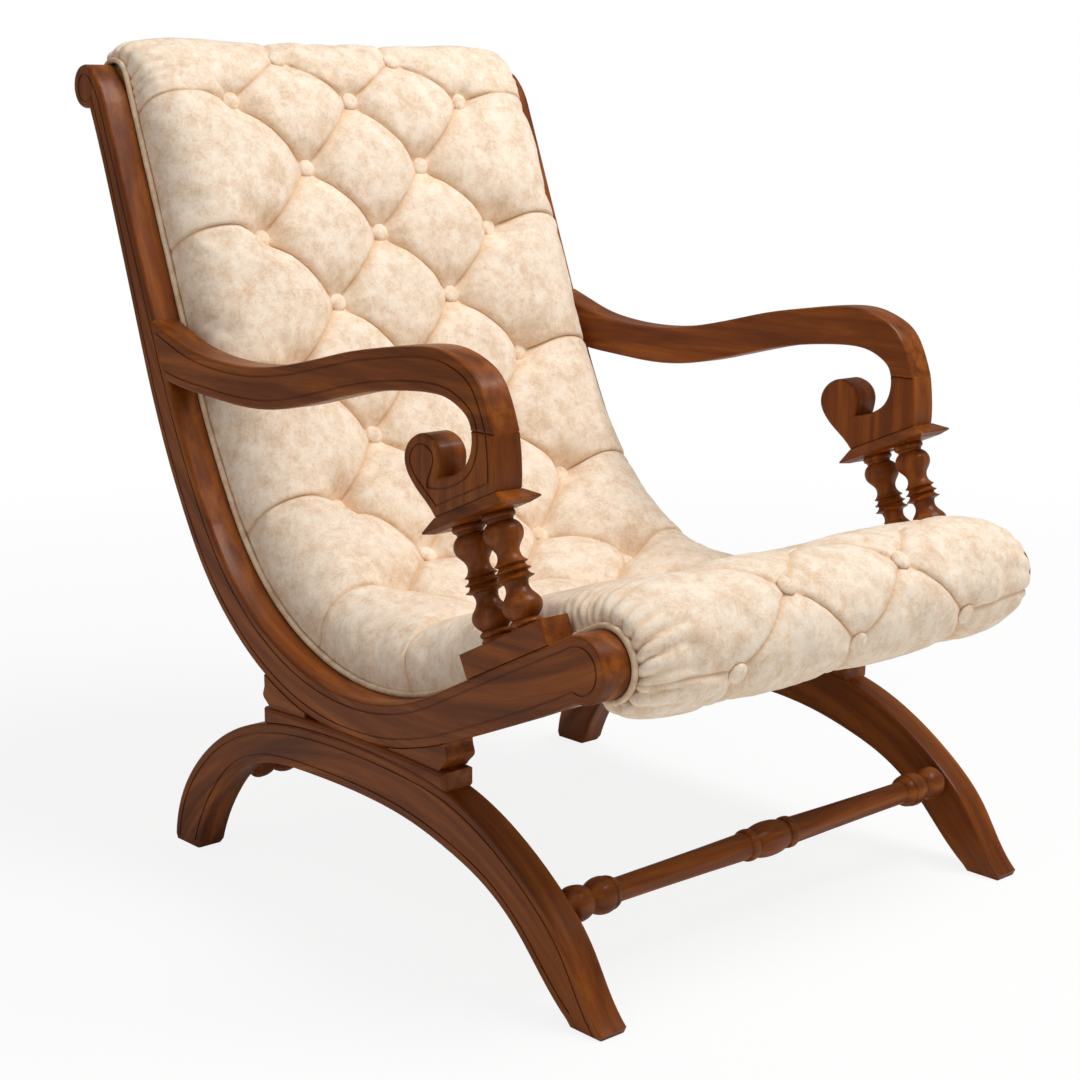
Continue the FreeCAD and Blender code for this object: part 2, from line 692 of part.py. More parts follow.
arm_plate = Part.makeLoft([
    plate_section(SPINDLE_LENGTH, PLATE_UNDER_INSET, PLATE_UNDER_INSET, PLATE_UNDER_INSET),
    plate_section(PLATE_BREAK, 0, 0, 0),
    plate_section(PLATE_BREAK + PLATE_EDGE, 0, 0, 0),
    plate_section(PLATE_TOP_RISE, PLATE_FRONT_INSET, PLATE_REAR_INSET, PLATE_SIDE_INSET),
], True, True)

spindles = []
block = block_blank
for side_of_pair in (1, -1):
    foot = offset(PAIR_FOOT, POST_DOWN, side_of_pair * SPINDLE_SPACING / 2)
    head = space(offset(foot, POST_OFF, SPINDLE_LENGTH), -SPINDLE_X)
    spindle = turned(SPINDLE_SHARES, SPINDLE_LENGTH, SPINDLE_RADIUS, head, -POST_AXIS)
    spindle = spindle.cut(block_blank)
    base = space(foot, -SPINDLE_X)
    tenon_start = base - POST_AXIS * SPINDLE_TENON_LENGTH
    tenon_length = SPINDLE_LENGTH + SPINDLE_TENON_LENGTH * 2
    tenon = rod(tenon_start, POST_AXIS, SPINDLE_TENON_RADIUS, tenon_length)
    block = block.cut(tenon)
    arm_plate = arm_plate.cut(tenon)
    spindles.append(spindle.fuse(tenon).removeSplitter())

# Arm from the foot on the plate to the rail, and its scroll end
FOOT_FRONT = offset(
    offset(PLATE_FOOT, POST_OFF, PLATE_TOP_RISE), POST_DOWN, PLATE_LENGTH / 2 - PLATE_FRONT_INSET,
)
FOOT_LENGTH = PLATE_LENGTH - PLATE_FRONT_INSET - PLATE_REAR_INSET
FOOT_REAR = offset(FOOT_FRONT, POST_DOWN, -FOOT_LENGTH)
ARM_REAR = place(ARM_JOIN)
ARM_INNER_X = ARM_OUTER_X - ARM_THICKNESS


def arm_point(shares):
    return (
        FOOT_FRONT[0] + (ARM_REAR[0] - FOOT_FRONT[0]) * shares[0],
        FOOT_FRONT[1] + (ARM_REAR[1] - FOOT_FRONT[1]) * shares[1],
    )


def curl_point(shares):
    return FOOT_FRONT[0] + CURL_DEPTH * shares[0], FOOT_FRONT[1] + CURL_HEIGHT * shares[1]


ARM_TOP = [arm_point(shares) for shares in ARM_TOP_SHARES]
ARM_UNDER = [arm_point(shares) for shares in ARM_UNDER_SHARES]
ARM_IN_RAIL_HIGH = offset(ARM_TOP[0], BACK_OFF, -RAIL_THICKNESS / 2)
ARM_IN_RAIL_LOW = offset(ARM_UNDER[0], BACK_OFF, -RAIL_THICKNESS / 2)
ARM_RUNS = [
    free(ARM_TOP), straight(ARM_TOP[-1], ARM_UNDER[-1]), free(ARM_UNDER[::-1]),
    straight(ARM_UNDER[0], ARM_IN_RAIL_LOW), straight(ARM_IN_RAIL_LOW, ARM_IN_RAIL_HIGH),
    straight(ARM_IN_RAIL_HIGH, ARM_TOP[0]),
]
SCROLL_FRONT = [ARM_TOP[-1]] + [curl_point(shares) for shares in SCROLL_FRONT_SHARES[::-1]]
CURL = [FOOT_REAR] + [curl_point(shares) for shares in CURL_SHARES]
GAP_FLOOR = [curl_point(shares) for shares in GAP_FLOOR_SHARES] + [ARM_UNDER[-1]]
SCROLL_RUNS = [
    free(SCROLL_FRONT), straight(FOOT_FRONT, FOOT_REAR), free(CURL), free(GAP_FLOOR),
    straight(ARM_UNDER[-1], ARM_TOP[-1]),
]
# One carved line runs round the arm and its scroll end together
ARM_LINE_RUNS = [
    free(ARM_TOP + SCROLL_FRONT[1:]), straight(FOOT_FRONT, FOOT_REAR), free(CURL),
    free(GAP_FLOOR + ARM_UNDER[-2::-1]),
] + ARM_RUNS[3:]
arm_line = carved_ring(ARM_LINE_RUNS, -ARM_OUTER_X)
arm = board(ARM_RUNS, -ARM_OUTER_X, -ARM_INNER_X, ARRIS).cut(rail_blade).cut(arm_line)
scroll_end = board(SCROLL_RUNS, -ARM_OUTER_X, -ARM_INNER_X, ARRIS).cut(arm_line)

# Turned stretchers between the arches
stretchers = []
arch_bored = arch
arch_bored_left = mirrored(arch)
for shares in (FRONT_STRETCHER_SHARES, REAR_STRETCHER_SHARES):
    axis = arch_point(shares)
    start = space(axis, -LEG_INNER_X)
    body = turned(STRETCHER_SHARES, LEG_INNER_X, STRETCHER_RADIUS, start, V(1, 0, 0), True)
    reach = LEG_INNER_X + STRETCHER_TENON_LENGTH
    tenon = rod(space(axis, -reach), V(1, 0, 0), STRETCHER_TENON_RADIUS, reach * 2)
    arch_bored = arch_bored.cut(tenon)
    arch_bored_left = arch_bored_left.cut(tenon)
    stretchers.append(body.fuse(tenon).removeSplitter())

# Cross rails and slats: two round bars at the ends, two boards, and slats between them
CREST_CENTRE = place(0, -CREST_RADIUS)
BAY = RAIL_LENGTH / SLAT_BAYS


def backing(along):
    """Depth of the cloth linings' outer face behind the seat line."""
    return rail_width(along) - LINING_BACKSET


def lining(start, end, steps):
    """Cloth lining between two places along the rail, as its runs."""
    faces = []
    for depth in (0, LINING_THICKNESS):
        points = []
        for step in range(steps + 1):
            along = start + (end - start) * step / steps
            points.append(place(along, depth - backing(along)))
        faces.append(points)
    outer, inner = faces
    return [
        free(inner), straight(inner[-1], outer[-1]), free(outer[::-1]),
        straight(outer[0], inner[0]),
    ]


def cross_board(along):
    down, off = direction_of(heading_at(along))
    runs = slanted_runs(
        place(along), down, off, CROSS_RAIL_WIDTH, -backing(along), -SLAT_DEPTH,
    )
    return prism(runs, -RAIL_INNER_X, RAIL_INNER_X)


SPAN = RAIL_INNER_X * 2
crest_bar = rod(
    space(CREST_CENTRE, -RAIL_INNER_X), V(1, 0, 0), CREST_RADIUS - SLAT_DEPTH, SPAN,
)
front_bar = rod(space(NOSE, -RAIL_INNER_X), V(1, 0, 0), NOSE_RADIUS - SLAT_DEPTH, SPAN)
WAIST_RAIL_ALONG = WAIST_RAIL_BAY * BAY
SEAT_RAIL_ALONG = SEAT_RAIL_BAY * BAY
LINING_STEPS = 12
LINING_START = CREST_RADIUS
LINING_END = RAIL_LENGTH - NOSE_RADIUS
LINING_SPLIT = SEAT_RAIL_ALONG
back_lining = prism(
    lining(LINING_START, LINING_SPLIT, LINING_STEPS), -RAIL_INNER_X, RAIL_INNER_X,
)
seat_lining = prism(
    lining(LINING_SPLIT, LINING_END, LINING_STEPS), -RAIL_INNER_X, RAIL_INNER_X,
)
linings = back_lining.fuse(seat_lining)


def largest(shape):
    return max(shape.Solids, key=lambda solid: solid.Volume)


waist_rail = largest(cross_board(WAIST_RAIL_ALONG).cut(linings))
seat_rail = largest(cross_board(SEAT_RAIL_ALONG).cut(linings))

slat_groups = {"back_slats": [], "seat_slats": []}
for bay in range(1, SLAT_BAYS):
    if bay in (WAIST_RAIL_BAY, SEAT_RAIL_BAY):
        continue
    down, off = direction_of(heading_at(bay * BAY))
    runs = slanted_runs(
        place(bay * BAY), down, off, SLAT_WIDTH, -SLAT_DEPTH - SLAT_THICKNESS, -SLAT_DEPTH,
    )
    reach = RAIL_INNER_X + SLAT_HOUSING
    slat = prism(runs, -reach, reach)
    name = "back_slats" if bay < SEAT_RAIL_BAY else "seat_slats"
    slat_groups[name].append(slat)

# Dowels from the side rails into the cross rails
dowel_groups = {}
dowel_places = (
    ("crest_dowels", 0, -CREST_RADIUS, BAR_DOWEL_SPACING),
    ("waist_dowels", WAIST_RAIL_ALONG, -(SLAT_DEPTH + backing(WAIST_RAIL_ALONG)) / 2,
     DOWEL_SPACING),
    ("seat_dowels", SEAT_RAIL_ALONG, -(SLAT_DEPTH + backing(SEAT_RAIL_ALONG)) / 2,
     DOWEL_SPACING),
    ("front_dowels", RAIL_LENGTH, -NOSE_RADIUS, DOWEL_SPACING),
)
for name, along, rise, spacing in dowel_places:
    down, off = direction_of(heading_at(along))
    dowels = []
    for side in (-1, 1):
        for end in (-1, 1):
            middle = offset(place(along, rise), down, side * spacing / 2)
            start = space(middle, end * RAIL_INNER_X - DOWEL_LENGTH / 2)
            dowels.append(rod(start, V(1, 0, 0), DOWEL_RADIUS, DOWEL_LENGTH))
    dowel_groups[name] = Part.makeCompound(dowels)

crest_bar = crest_bar.cut(dowel_groups["crest_dowels"])
front_bar = front_bar.cut(dowel_groups["front_dowels"])
waist_rail = waist_rail.cut(dowel_groups["waist_dowels"])
seat_rail = seat_rail.cut(dowel_groups["seat_dowels"])
all_slats = Part.makeCompound(slat_groups["back_slats"] + slat_groups["seat_slats"])
rail_left = mirrored(rail).cut(all_slats)
rail = rail.cut(all_slats)
for dowels in dowel_groups.values():
    rail = rail.cut(dowels)
    rail_left = rail_left.cut(dowels)


# Screws, each with its sunk head at the start
def screw(start, direction, length):
    direction = V(direction).normalize()
    head = rod(start, direction, SCREW_HEAD_RADIUS, SCREW_HEAD_HEIGHT)
    return head.fuse(rod(start, direction, SCREW_RADIUS, length)).removeSplitter()


def screw_hole(start, direction, length):
    direction = V(direction).normalize()
    mouth = start - direction * (SCREW_SINK + OVERRUN)
    well = rod(mouth, direction, SCREW_HEAD_RADIUS, SCREW_HEAD_HEIGHT + SCREW_SINK + OVERRUN)
    return well.fuse(rod(start, direction, SCREW_RADIUS, length))


plate_screw_start = space(
    offset(PAIR_FOOT, POST_OFF, SPINDLE_LENGTH + SCREW_SINK - SCREW_HEAD_HEIGHT), -ARM_MID_X,
)
plate_screw = screw(plate_screw_start, POST_AXIS, PLATE_SCREW_LENGTH)
plate_screw_hole = screw_hole(plate_screw_start, POST_AXIS, PLATE_SCREW_LENGTH)
arm_plate = arm_plate.cut(plate_screw_hole)
scroll_end = scroll_end.cut(plate_screw_hole)

# The arm screw follows the middle of the arm's neck
ARM_END = space(halfway(ARM_TOP[0], ARM_UNDER[0]), -RAIL_MID_X)
ARM_NECK = space(halfway(ARM_TOP[3], ARM_UNDER[2]), -RAIL_MID_X)
ARM_AXIS = (ARM_NECK - ARM_END).normalize()
arm_screw_sunk = rail_width(ARM_JOIN) / ARM_AXIS.dot(V(0, *BACK_OFF)) - SCREW_SINK
arm_screw_start = ARM_END - ARM_AXIS * arm_screw_sunk
arm_screw = screw(arm_screw_start, ARM_AXIS, ARM_SCREW_LENGTH)
arm_screw_hole = screw_hole(arm_screw_start, ARM_AXIS, ARM_SCREW_LENGTH)
arm = arm.cut(arm_screw_hole)
rail = rail.cut(arm_screw_hole)
rail_left = rail_left.cut(mirrored(arm_screw_hole))

post_middle = (ARM_TOP[-1][0] + ARM_UNDER[-1][0]) / 2
arm_dowel = rod(
    V(-ARM_MID_X, post_middle, ARM_TOP[-1][1] - DOWEL_LENGTH / 2), V(0, 0, 1), DOWEL_RADIUS,
    DOWEL_LENGTH,
)
arm = arm.cut(arm_dowel)
scroll_end = scroll_end.cut(arm_dowel)

LEG_MID_X = HALF_WIDTH - LEG_THICKNESS / 2
ARCH_INNER_CURVE = curve_of("free", ARCH_INNER)
leg_screws = []
for share in LEG_SCREW_SHARES:
    y = ARCH_FRONT + ARCH_SPAN * share
    line = Part.makeLine(V(0, y, 0), V(0, y, ARCH_HEIGHT))
    z = line.distToShape(ARCH_INNER_CURVE.toShape())[1][0][0].z
    start = V(-LEG_MID_X, y, z + SCREW_SINK)
    leg_screws.append(screw(start, V(0, 0, 1), LEG_SCREW_LENGTH))
    hole = screw_hole(start, V(0, 0, 1), LEG_SCREW_LENGTH)
    arch_bored = arch_bored.cut(hole)
    arch_bored_left = arch_bored_left.cut(mirrored(hole))
    saddle_pad = saddle_pad.cut(hole)
    wedge_front = wedge_front.cut(hole)
    wedge_rear = wedge_rear.cut(hole)
    rail = rail.cut(hole)
    rail_left = rail_left.cut(mirrored(hole))

# Foam on the slats, round both bars
def parallel(rise):
    """The seat line moved off by a rise, as runs from end to end."""
    runs = []
    passed = -CREST_LENGTH
    for length, turn in SEGMENTS:
        start, end = passed, passed + length
        if turn:
            if abs(turn) > math.pi / 2:
                middle = (start + end) / 2
                quarters = [start, (start + middle) / 2, middle, (middle + end) / 2, end]
            else:
                quarters = [start, (start + end) / 2, end]
            points = [place(along, rise) for along in quarters]
            for index in range(0, len(points) - 1, 2):
                runs.append(arc(*points[index:index + 3]))
        else:
            runs.append(straight(place(start, rise), place(end, rise)))
        passed = end
    return runs


def turned_back(runs):
    return [(kind, points[::-1]) for kind, points in reversed(runs)]


foam_top = parallel(FOAM_RISE)
foam_under = parallel(SOFT_GAP - SLAT_DEPTH)
PIPING_X = RAIL_INNER_X - SOFT_GAP - PIPING_RADIUS
PAD_FOOT_X = PIPING_X - PIPING_RADIUS - SOFT_GAP
foam_runs = turned_back(foam_top) + [straight(foam_top[0][1][0], foam_under[0][1][0])]
foam_runs += foam_under + [straight(foam_under[-1][1][-1], foam_top[-1][1][-1])]
foam = prism(foam_runs, -PAD_FOOT_X, PAD_FOOT_X)

# Piping along each edge of the pad
path = wire_of(foam_top, -PIPING_X)
path_start = space(foam_top[0][1][0], -PIPING_X)
start_direction = V(0, *direction_of(heading_at(-CREST_LENGTH))[0])
ring = Part.Wire(Part.makeCircle(PIPING_RADIUS, path_start, start_direction))
piping = path.makePipeShell([ring], True, True)

# Tufted pad: sections square to the seat line, button rows of three and of two in turn
PAD_BASE = FOAM_RISE + SOFT_GAP
CREST_LEVEL = CREST_LENGTH + radians(CREST_WRAP) * TUFT_RISE
row_levels = [CREST_LEVEL + FIRST_ROW_ALONG - CREST_ROW_BACK, CREST_LEVEL + FIRST_ROW_ALONG]
for row in range(BACK_PITCHES):
    row_levels.append(row_levels[-1] + BACK_PITCH)
for row in range(SEAT_PITCHES):
    row_levels.append(row_levels[-1] + SEAT_PITCH)
ROW_OF_THREE = 0
row_kinds = [(index + 1) % 2 for index in range(len(row_levels))]


def level_length(rise):
    return sum(length - turn * rise for length, turn in SEGMENTS)


def crown_at(along):
    return PAD_CROWN * blend(PAD_CROWN_SHARES, (CREST_LENGTH + along) / PATH_LENGTH)


def seat_at(along):
    """Rise of the buttons' seats over the pad's base."""
    return PAD_CROWN * blend(PAD_SEAT_SHARES, (CREST_LENGTH + along) / PATH_LENGTH)


def kind_at(level):
    """Mix of the two kinds of row at a level distance: 0 a row of three, 1 a row of two."""
    if level <= row_levels[0]:
        return row_kinds[0]
    for index in range(len(row_levels) - 1):
        low, high = row_levels[index], row_levels[index + 1]
        if level <= high:
            share = (level - low) / (high - low)
            return row_kinds[index] + (row_kinds[index + 1] - row_kinds[index]) * share
    return row_kinds[-1]


SHOULDER_X = PAD_FOOT_X + PAD_SIDE_BULGE - PAD_CROWN * SHOULDER_IN_SHARE
HALF_SEAT = BUTTON_SEAT / 2
# Five spans across the top, each as (start x, start, middle, end x, end) with heights as
# fullness; the first list is a row of three, then half-way, then a row of two.
THREE_SPANS = (
    (SHOULDER_X, SHOULDER_FULLNESS, SIDE_SEAM_FULLNESS, BUTTON_SPACING, 0),
    (BUTTON_SPACING, 0, 1, HALF_SEAT, 0),
    (HALF_SEAT, 0, 0, -HALF_SEAT, 0),
)
HALF_SPANS = (
    (SHOULDER_X, SHOULDER_FULLNESS, 1, BUTTON_SPACING * 3 / 4, SEAM_FULLNESS),
    (BUTTON_SPACING * 3 / 4, SEAM_FULLNESS, 1, BUTTON_SPACING / 4, SEAM_FULLNESS),
    (BUTTON_SPACING / 4, SEAM_FULLNESS, 1, -BUTTON_SPACING / 4, SEAM_FULLNESS),
)
TWO_SPANS = (
    (SHOULDER_X, SHOULDER_FULLNESS, 1, BUTTON_SPACING / 2 + HALF_SEAT, 0),
    (BUTTON_SPACING / 2 + HALF_SEAT, 0, 0, BUTTON_SPACING / 2 - HALF_SEAT, 0),
    (BUTTON_SPACING / 2 - HALF_SEAT, 0, 1, HALF_SEAT - BUTTON_SPACING / 2, 0),
)


def mixed(kind):
    low, high, share = THREE_SPANS, HALF_SPANS, kind * 2
    if kind > 1 / 2:
        low, high, share = HALF_SPANS, TWO_SPANS, kind * 2 - 1
    spans = []
    for first, second in zip(low, high):
        spans.append([a + (b - a) * share for a, b in zip(first, second)])
    return spans


def pad_section(level):
    along = level_along(level, TUFT_RISE)
    crown, seat = crown_at(along), seat_at(along)

    def spot(x, height):
        return space(place(along, PAD_BASE + height), x)

    def on_top(x, fullness):
        return spot(x, seat + (crown - seat) * fullness)

    spans = mixed(kind_at(level))
    right = []
    for start_x, start, middle, end_x, end in spans:
        middle_fullness = middle + SPAN_BOW_SHARE
        right.append((on_top(start_x, start), on_top((start_x + end_x) / 2, middle_fullness),
                      on_top(end_x, end)))
    spread = crown / PAD_CROWN
    foot_x = PAD_FOOT_X + PAD_SIDE_BULGE * min(1, spread) * SIDE_FOOT_SHARE
    bulge_x = PAD_FOOT_X + PAD_SIDE_BULGE * min(1, spread * 2)
    foot = spot(foot_x, PAD_SIDE_FOOT * spread)
    corner = spot(PAD_FOOT_X, 0)
    bulge = spot(bulge_x, crown * SIDE_BULGE_SHARE)
    edges = [Part.LineSegment(corner, foot), Part.Arc(foot, bulge, right[0][0])]
    for start, middle, end in right:
        edges.append(Part.Arc(start, middle, end))
    for start, middle, end in reversed(right[:2]):
        edges.append(Part.Arc(flipped(end), flipped(middle), flipped(start)))
    edges.append(Part.Arc(flipped(right[0][0]), flipped(bulge), flipped(foot)))
    edges.append(Part.LineSegment(flipped(foot), flipped(corner)))
    edges.append(Part.LineSegment(flipped(corner), corner))
    return Part.Wire([edge.toShape() for edge in edges])


def flipped(point):
    return V(-point.x, point.y, point.z)


# On the rolls the sections stand closer together
ROLL_STEP = SEAT_PITCH / 8
SPREAD_STEP = SEAT_PITCH / 2
NOSE_LEVEL = level_length(TUFT_RISE) - NOSE_RADIUS * radians(NOSE_WRAP) - (
    radians(NOSE_WRAP) * TUFT_RISE
)
marks = [0, CREST_LEVEL] + row_levels + [NOSE_LEVEL, level_length(TUFT_RISE)]
marks = sorted(marks)
levels = [0]
for low, high in zip(marks, marks[1:]):
    on_roll = high <= CREST_LEVEL or low >= NOSE_LEVEL
    step = ROLL_STEP if on_roll else SPREAD_STEP
    count = max(1, math.ceil((high - low) / step - SPAN_BOW_SHARE))
    for index in range(count):
        levels.append(low + (high - low) * (index + 1) / count)
cushion = Part.makeLoft([pad_section(level) for level in levels], True, True)

# Buttons, each in its pocket
buttons = []
pockets = []
cap = BUTTON_HEIGHT - BUTTON_RIM
dome_radius = (BUTTON_RADIUS ** 2 + cap ** 2) / (2 * cap)
dome_edge = math.degrees(math.asin((dome_radius - cap) / dome_radius))
dome_centre = V(0, 0, BUTTON_HEIGHT - dome_radius)
dome = Part.makeSphere(dome_radius, dome_centre, V(0, 0, 1), dome_edge, 90)
for level, kind in zip(row_levels, row_kinds):
    along = level_along(level, TUFT_RISE)
    off = V(0, *direction_of(heading_at(along))[1])
    centre = place(along, PAD_BASE + seat_at(along) - BUTTON_SINK)
    across = [-BUTTON_SPACING / 2, BUTTON_SPACING / 2]
    if kind == ROW_OF_THREE:
        across = [-BUTTON_SPACING, 0, BUTTON_SPACING]
    for x in across:
        button = Part.makeCylinder(BUTTON_RADIUS, BUTTON_RIM).fuse(dome)
        button = button.removeSplitter()
        button.Placement = FreeCAD.Placement(
            space(centre, x), FreeCAD.Rotation(V(0, 0, 1), off),
        )
        buttons.append(button)
        pockets.append(rod(space(centre, x), off, BUTTON_RADIUS + SOFT_GAP, PAD_CROWN))
cushion = cushion.cut(Part.makeCompound(pockets))

# Every piece by its name; one side is drawn and the other mirrored
linings_bars = Part.makeCompound([crest_bar, front_bar])
nodes = {
    "side_rail_right": rail,
    "side_rail_left": rail_left,
    "leg_arch_right": arch_bored,
    "leg_arch_left": arch_bored_left,
    "stretcher_front": stretchers[0],
    "stretcher_rear": stretchers[1],
    "crest_rail": crest_bar,
    "waist_rail": waist_rail,
    "seat_rail": seat_rail,
    "front_rail": front_bar,
    "back_slats": Part.makeCompound(slat_groups["back_slats"]),
    "seat_slats": Part.makeCompound(slat_groups["seat_slats"]),
    "back_lining": back_lining.cut(linings_bars),
    "seat_lining": seat_lining.cut(linings_bars),
    "foam": foam,
    "tufted_pad": cushion,
    "tuft_buttons": Part.makeCompound(buttons),
}
nodes.update(dowel_groups)
one_side = {
    "saddle_pad": saddle_pad,
    "saddle_wedge_rear": wedge_rear,
    "saddle_wedge_front": wedge_front,
    "base_block": block,
    "spindle_front": spindles[0],
    "spindle_rear": spindles[1],
    "arm_plate": arm_plate,
    "arm_scroll": scroll_end,
    "arm": arm,
    "piping": piping,
}
for name, shape in one_side.items():
    nodes[name + "_right"] = shape
    nodes[name + "_left"] = mirrored(shape)
fixings = {
    "plate_screws": [plate_screw],
    "arm_screws": [arm_screw],
    "arm_dowels": [arm_dowel],
    "leg_screws": leg_screws,
}
for name, shapes in fixings.items():
    nodes[name] = Part.makeCompound(shapes + [mirrored(shape) for shape in shapes])

# The origin is on the floor, under the middle of the whole chair
whole = Part.makeCompound(list(nodes.values())).optimalBoundingBox(False, False)
shift = V(0, -(whole.YMin + whole.YMax) / 2, 0)
for name, shape in nodes.items():
    moved = shape.copy()
    moved.translate(shift)
    moved.exportStep("parts/" + name + ".step")
    print(name, moved.isValid(), len(moved.Solids), round(moved.Volume))
print("moved along Y by", round(shift.y, 3))
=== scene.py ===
# %% [markdown]
# A planters chair: two curved hardwood sides on arched legs, scrolled arms on turned
# spindles, and one long button-tufted pad slung between the sides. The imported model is
# the frame, and every new piece is placed from it. The wood stays as it is packed and gets
# its finish here. The soft parts are made anew, because cloth needs creases and gathers.

# %% Load the frame
import math
import random

import bmesh
import bpy
from mathutils import Matrix, Vector, noise


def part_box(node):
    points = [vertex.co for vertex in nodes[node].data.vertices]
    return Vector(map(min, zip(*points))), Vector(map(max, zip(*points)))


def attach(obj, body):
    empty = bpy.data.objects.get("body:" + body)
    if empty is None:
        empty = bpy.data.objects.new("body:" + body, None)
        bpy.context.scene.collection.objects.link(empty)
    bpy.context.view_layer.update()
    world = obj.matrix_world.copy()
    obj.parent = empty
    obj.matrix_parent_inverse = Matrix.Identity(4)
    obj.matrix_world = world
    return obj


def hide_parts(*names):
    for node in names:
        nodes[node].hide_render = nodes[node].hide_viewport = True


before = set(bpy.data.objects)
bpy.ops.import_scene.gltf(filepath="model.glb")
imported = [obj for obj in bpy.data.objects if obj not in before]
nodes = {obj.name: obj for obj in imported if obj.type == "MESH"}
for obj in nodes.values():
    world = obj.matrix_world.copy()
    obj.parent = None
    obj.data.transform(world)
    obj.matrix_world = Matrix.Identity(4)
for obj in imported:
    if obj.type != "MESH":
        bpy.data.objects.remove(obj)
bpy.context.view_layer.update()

# %% [markdown]
# The seat line is the front edge of the side rails, seen from the side: a tight crest roll,
# a raked back, a slow and a quick bend, a rising seat and a front roll. "Along" runs down
# it from the crest and "rise" stands square off it towards the sitter, as an upholsterer
# would measure with a tape. The crest bar's middle, read from the frame, places the line.

# %% Seat line
MM = 0.001
RAKE = math.radians(20.7)
CREST_RADIUS, CREST_WRAP = 24 * MM, math.radians(200)
BACK_LENGTH = 344 * MM
SLOW_RADIUS, SLOW_TURN = 980 * MM, math.radians(10.8)
BEND_RADIUS, BEND_TURN = 298 * MM, math.radians(84.6)
SEAT_LENGTH = 224 * MM
NOSE_RADIUS, NOSE_WRAP = 32.5 * MM, math.radians(225)
STRETCHES = (
    (CREST_RADIUS * CREST_WRAP, -CREST_WRAP),
    (BACK_LENGTH, 0),
    (SLOW_RADIUS * SLOW_TURN, SLOW_TURN),
    (BEND_RADIUS * BEND_TURN, BEND_TURN),
    (SEAT_LENGTH, 0),
    (NOSE_RADIUS * NOSE_WRAP, -NOSE_WRAP),
)
CREST_LENGTH, NOSE_LENGTH = STRETCHES[0][0], STRETCHES[-1][0]
LINE_LENGTH = sum(length for length, turn in STRETCHES)
RAIL_LENGTH = LINE_LENGTH - CREST_LENGTH - NOSE_LENGTH


def traced(distance):
    """Depth, height and heading at a distance from the start of the crest roll."""
    y, z, heading = 0, 0, RAKE + CREST_WRAP
    for index, (length, turn) in enumerate(STRETCHES, start=1):
        step = distance if index == len(STRETCHES) else min(distance, length)
        swing = turn * step / length
        if turn:
            radius = length / turn
            y += radius * (math.cos(heading + swing) - math.cos(heading))
            z -= radius * (math.sin(heading + swing) - math.sin(heading))
        else:
            y -= math.sin(heading) * step
            z -= math.cos(heading) * step
        heading += swing
        distance -= step
        if distance <= 0:
            break
    return y, z, heading


bar_low, bar_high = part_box("crest_rail")
bar_middle = (bar_low + bar_high) / 2
start_y, start_z = traced(CREST_LENGTH)[:2]
ORIGIN_Y = bar_middle.y - math.cos(RAKE) * CREST_RADIUS - start_y
ORIGIN_Z = bar_middle.z + math.sin(RAKE) * CREST_RADIUS - start_z


def on_line(along, rise, x):
    """Point of the chair at a distance down the seat line, off it by a rise, and across."""
    y, z, heading = traced(CREST_LENGTH + along)
    return Vector((
        x,
        ORIGIN_Y + y - math.cos(heading) * rise,
        ORIGIN_Z + z + math.sin(heading) * rise,
    ))


def down_at(along):
    """Direction in which the line runs at a place."""
    heading = traced(CREST_LENGTH + along)[2]
    return Vector((0, -math.sin(heading), -math.cos(heading)))


def station(along):
    """Matrix of a place on the line: local Y runs down it and local Z stands off it."""
    down = down_at(along)
    off = Vector((0, down.z, -down.y))
    turned = Matrix((Vector((1, 0, 0)), down, off)).transposed().to_4x4()
    return Matrix.Translation(on_line(along, 0, 0)) @ turned


nose_low, nose_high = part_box("front_rail")
nose_gap = on_line(RAIL_LENGTH, -NOSE_RADIUS, 0) - (nose_low + nose_high) / 2
print("line passes the front bar's middle by mm", round(nose_gap.length / MM, 3))

# %% [markdown]
# Buttons stand in staggered rows of three and of two. A level is a distance measured with
# the tape lying on the buttons, a little off the seat line, so that the pitch stays even
# round the bends, as it does on the real pad.

# %% Button rows
TUFT_RISE = 28 * MM
BUTTON_SPACING = 172 * MM
HALF = BUTTON_SPACING / 2
CREST_LEVEL = CREST_LENGTH + CREST_WRAP * TUFT_RISE
LAST_LEVEL = sum(length - turn * TUFT_RISE for length, turn in STRETCHES)
FIRST_ROWS = (-16.6 * MM, 41.4 * MM)
BACK_PITCH, BACK_ROWS = 82.6 * MM, 7
SEAT_PITCH, SEAT_ROWS = 74.2 * MM, 9
row_levels = [CREST_LEVEL + off for off in FIRST_ROWS]
for pitch, count in ((BACK_PITCH, BACK_ROWS), (SEAT_PITCH, SEAT_ROWS)):
    for step in range(count):
        row_levels.append(row_levels[-1] + pitch)


def along_of(level):
    """Distance down the seat line of a place on the buttons' tape."""
    passed = -CREST_LENGTH
    for length, turn in STRETCHES:
        stretch = length - turn * TUFT_RISE
        if level <= stretch or turn == -NOSE_WRAP:
            return passed + level * length / stretch
        level -= stretch
        passed += length


buttons = []
for row, level in enumerate(row_levels):
    across = (0.0, BUTTON_SPACING, -BUTTON_SPACING) if row % 2 else (HALF, -HALF)
    buttons += [(x, level) for x in across]
print("rows", len(row_levels), "buttons", len(buttons))

# %% [markdown]
# Pleats run from button to button in diamonds, from the outer buttons straight out to the
# piping, and from the first and last rows to the pad's ends. Each is one straight line on
# the tape. The depth of the stuffing is read from three small tables, each of a share of
# the line and a height in millimetres: the crown of the puffs at the two sides, that of
# the puffs in the middle, and the seat of the buttons.

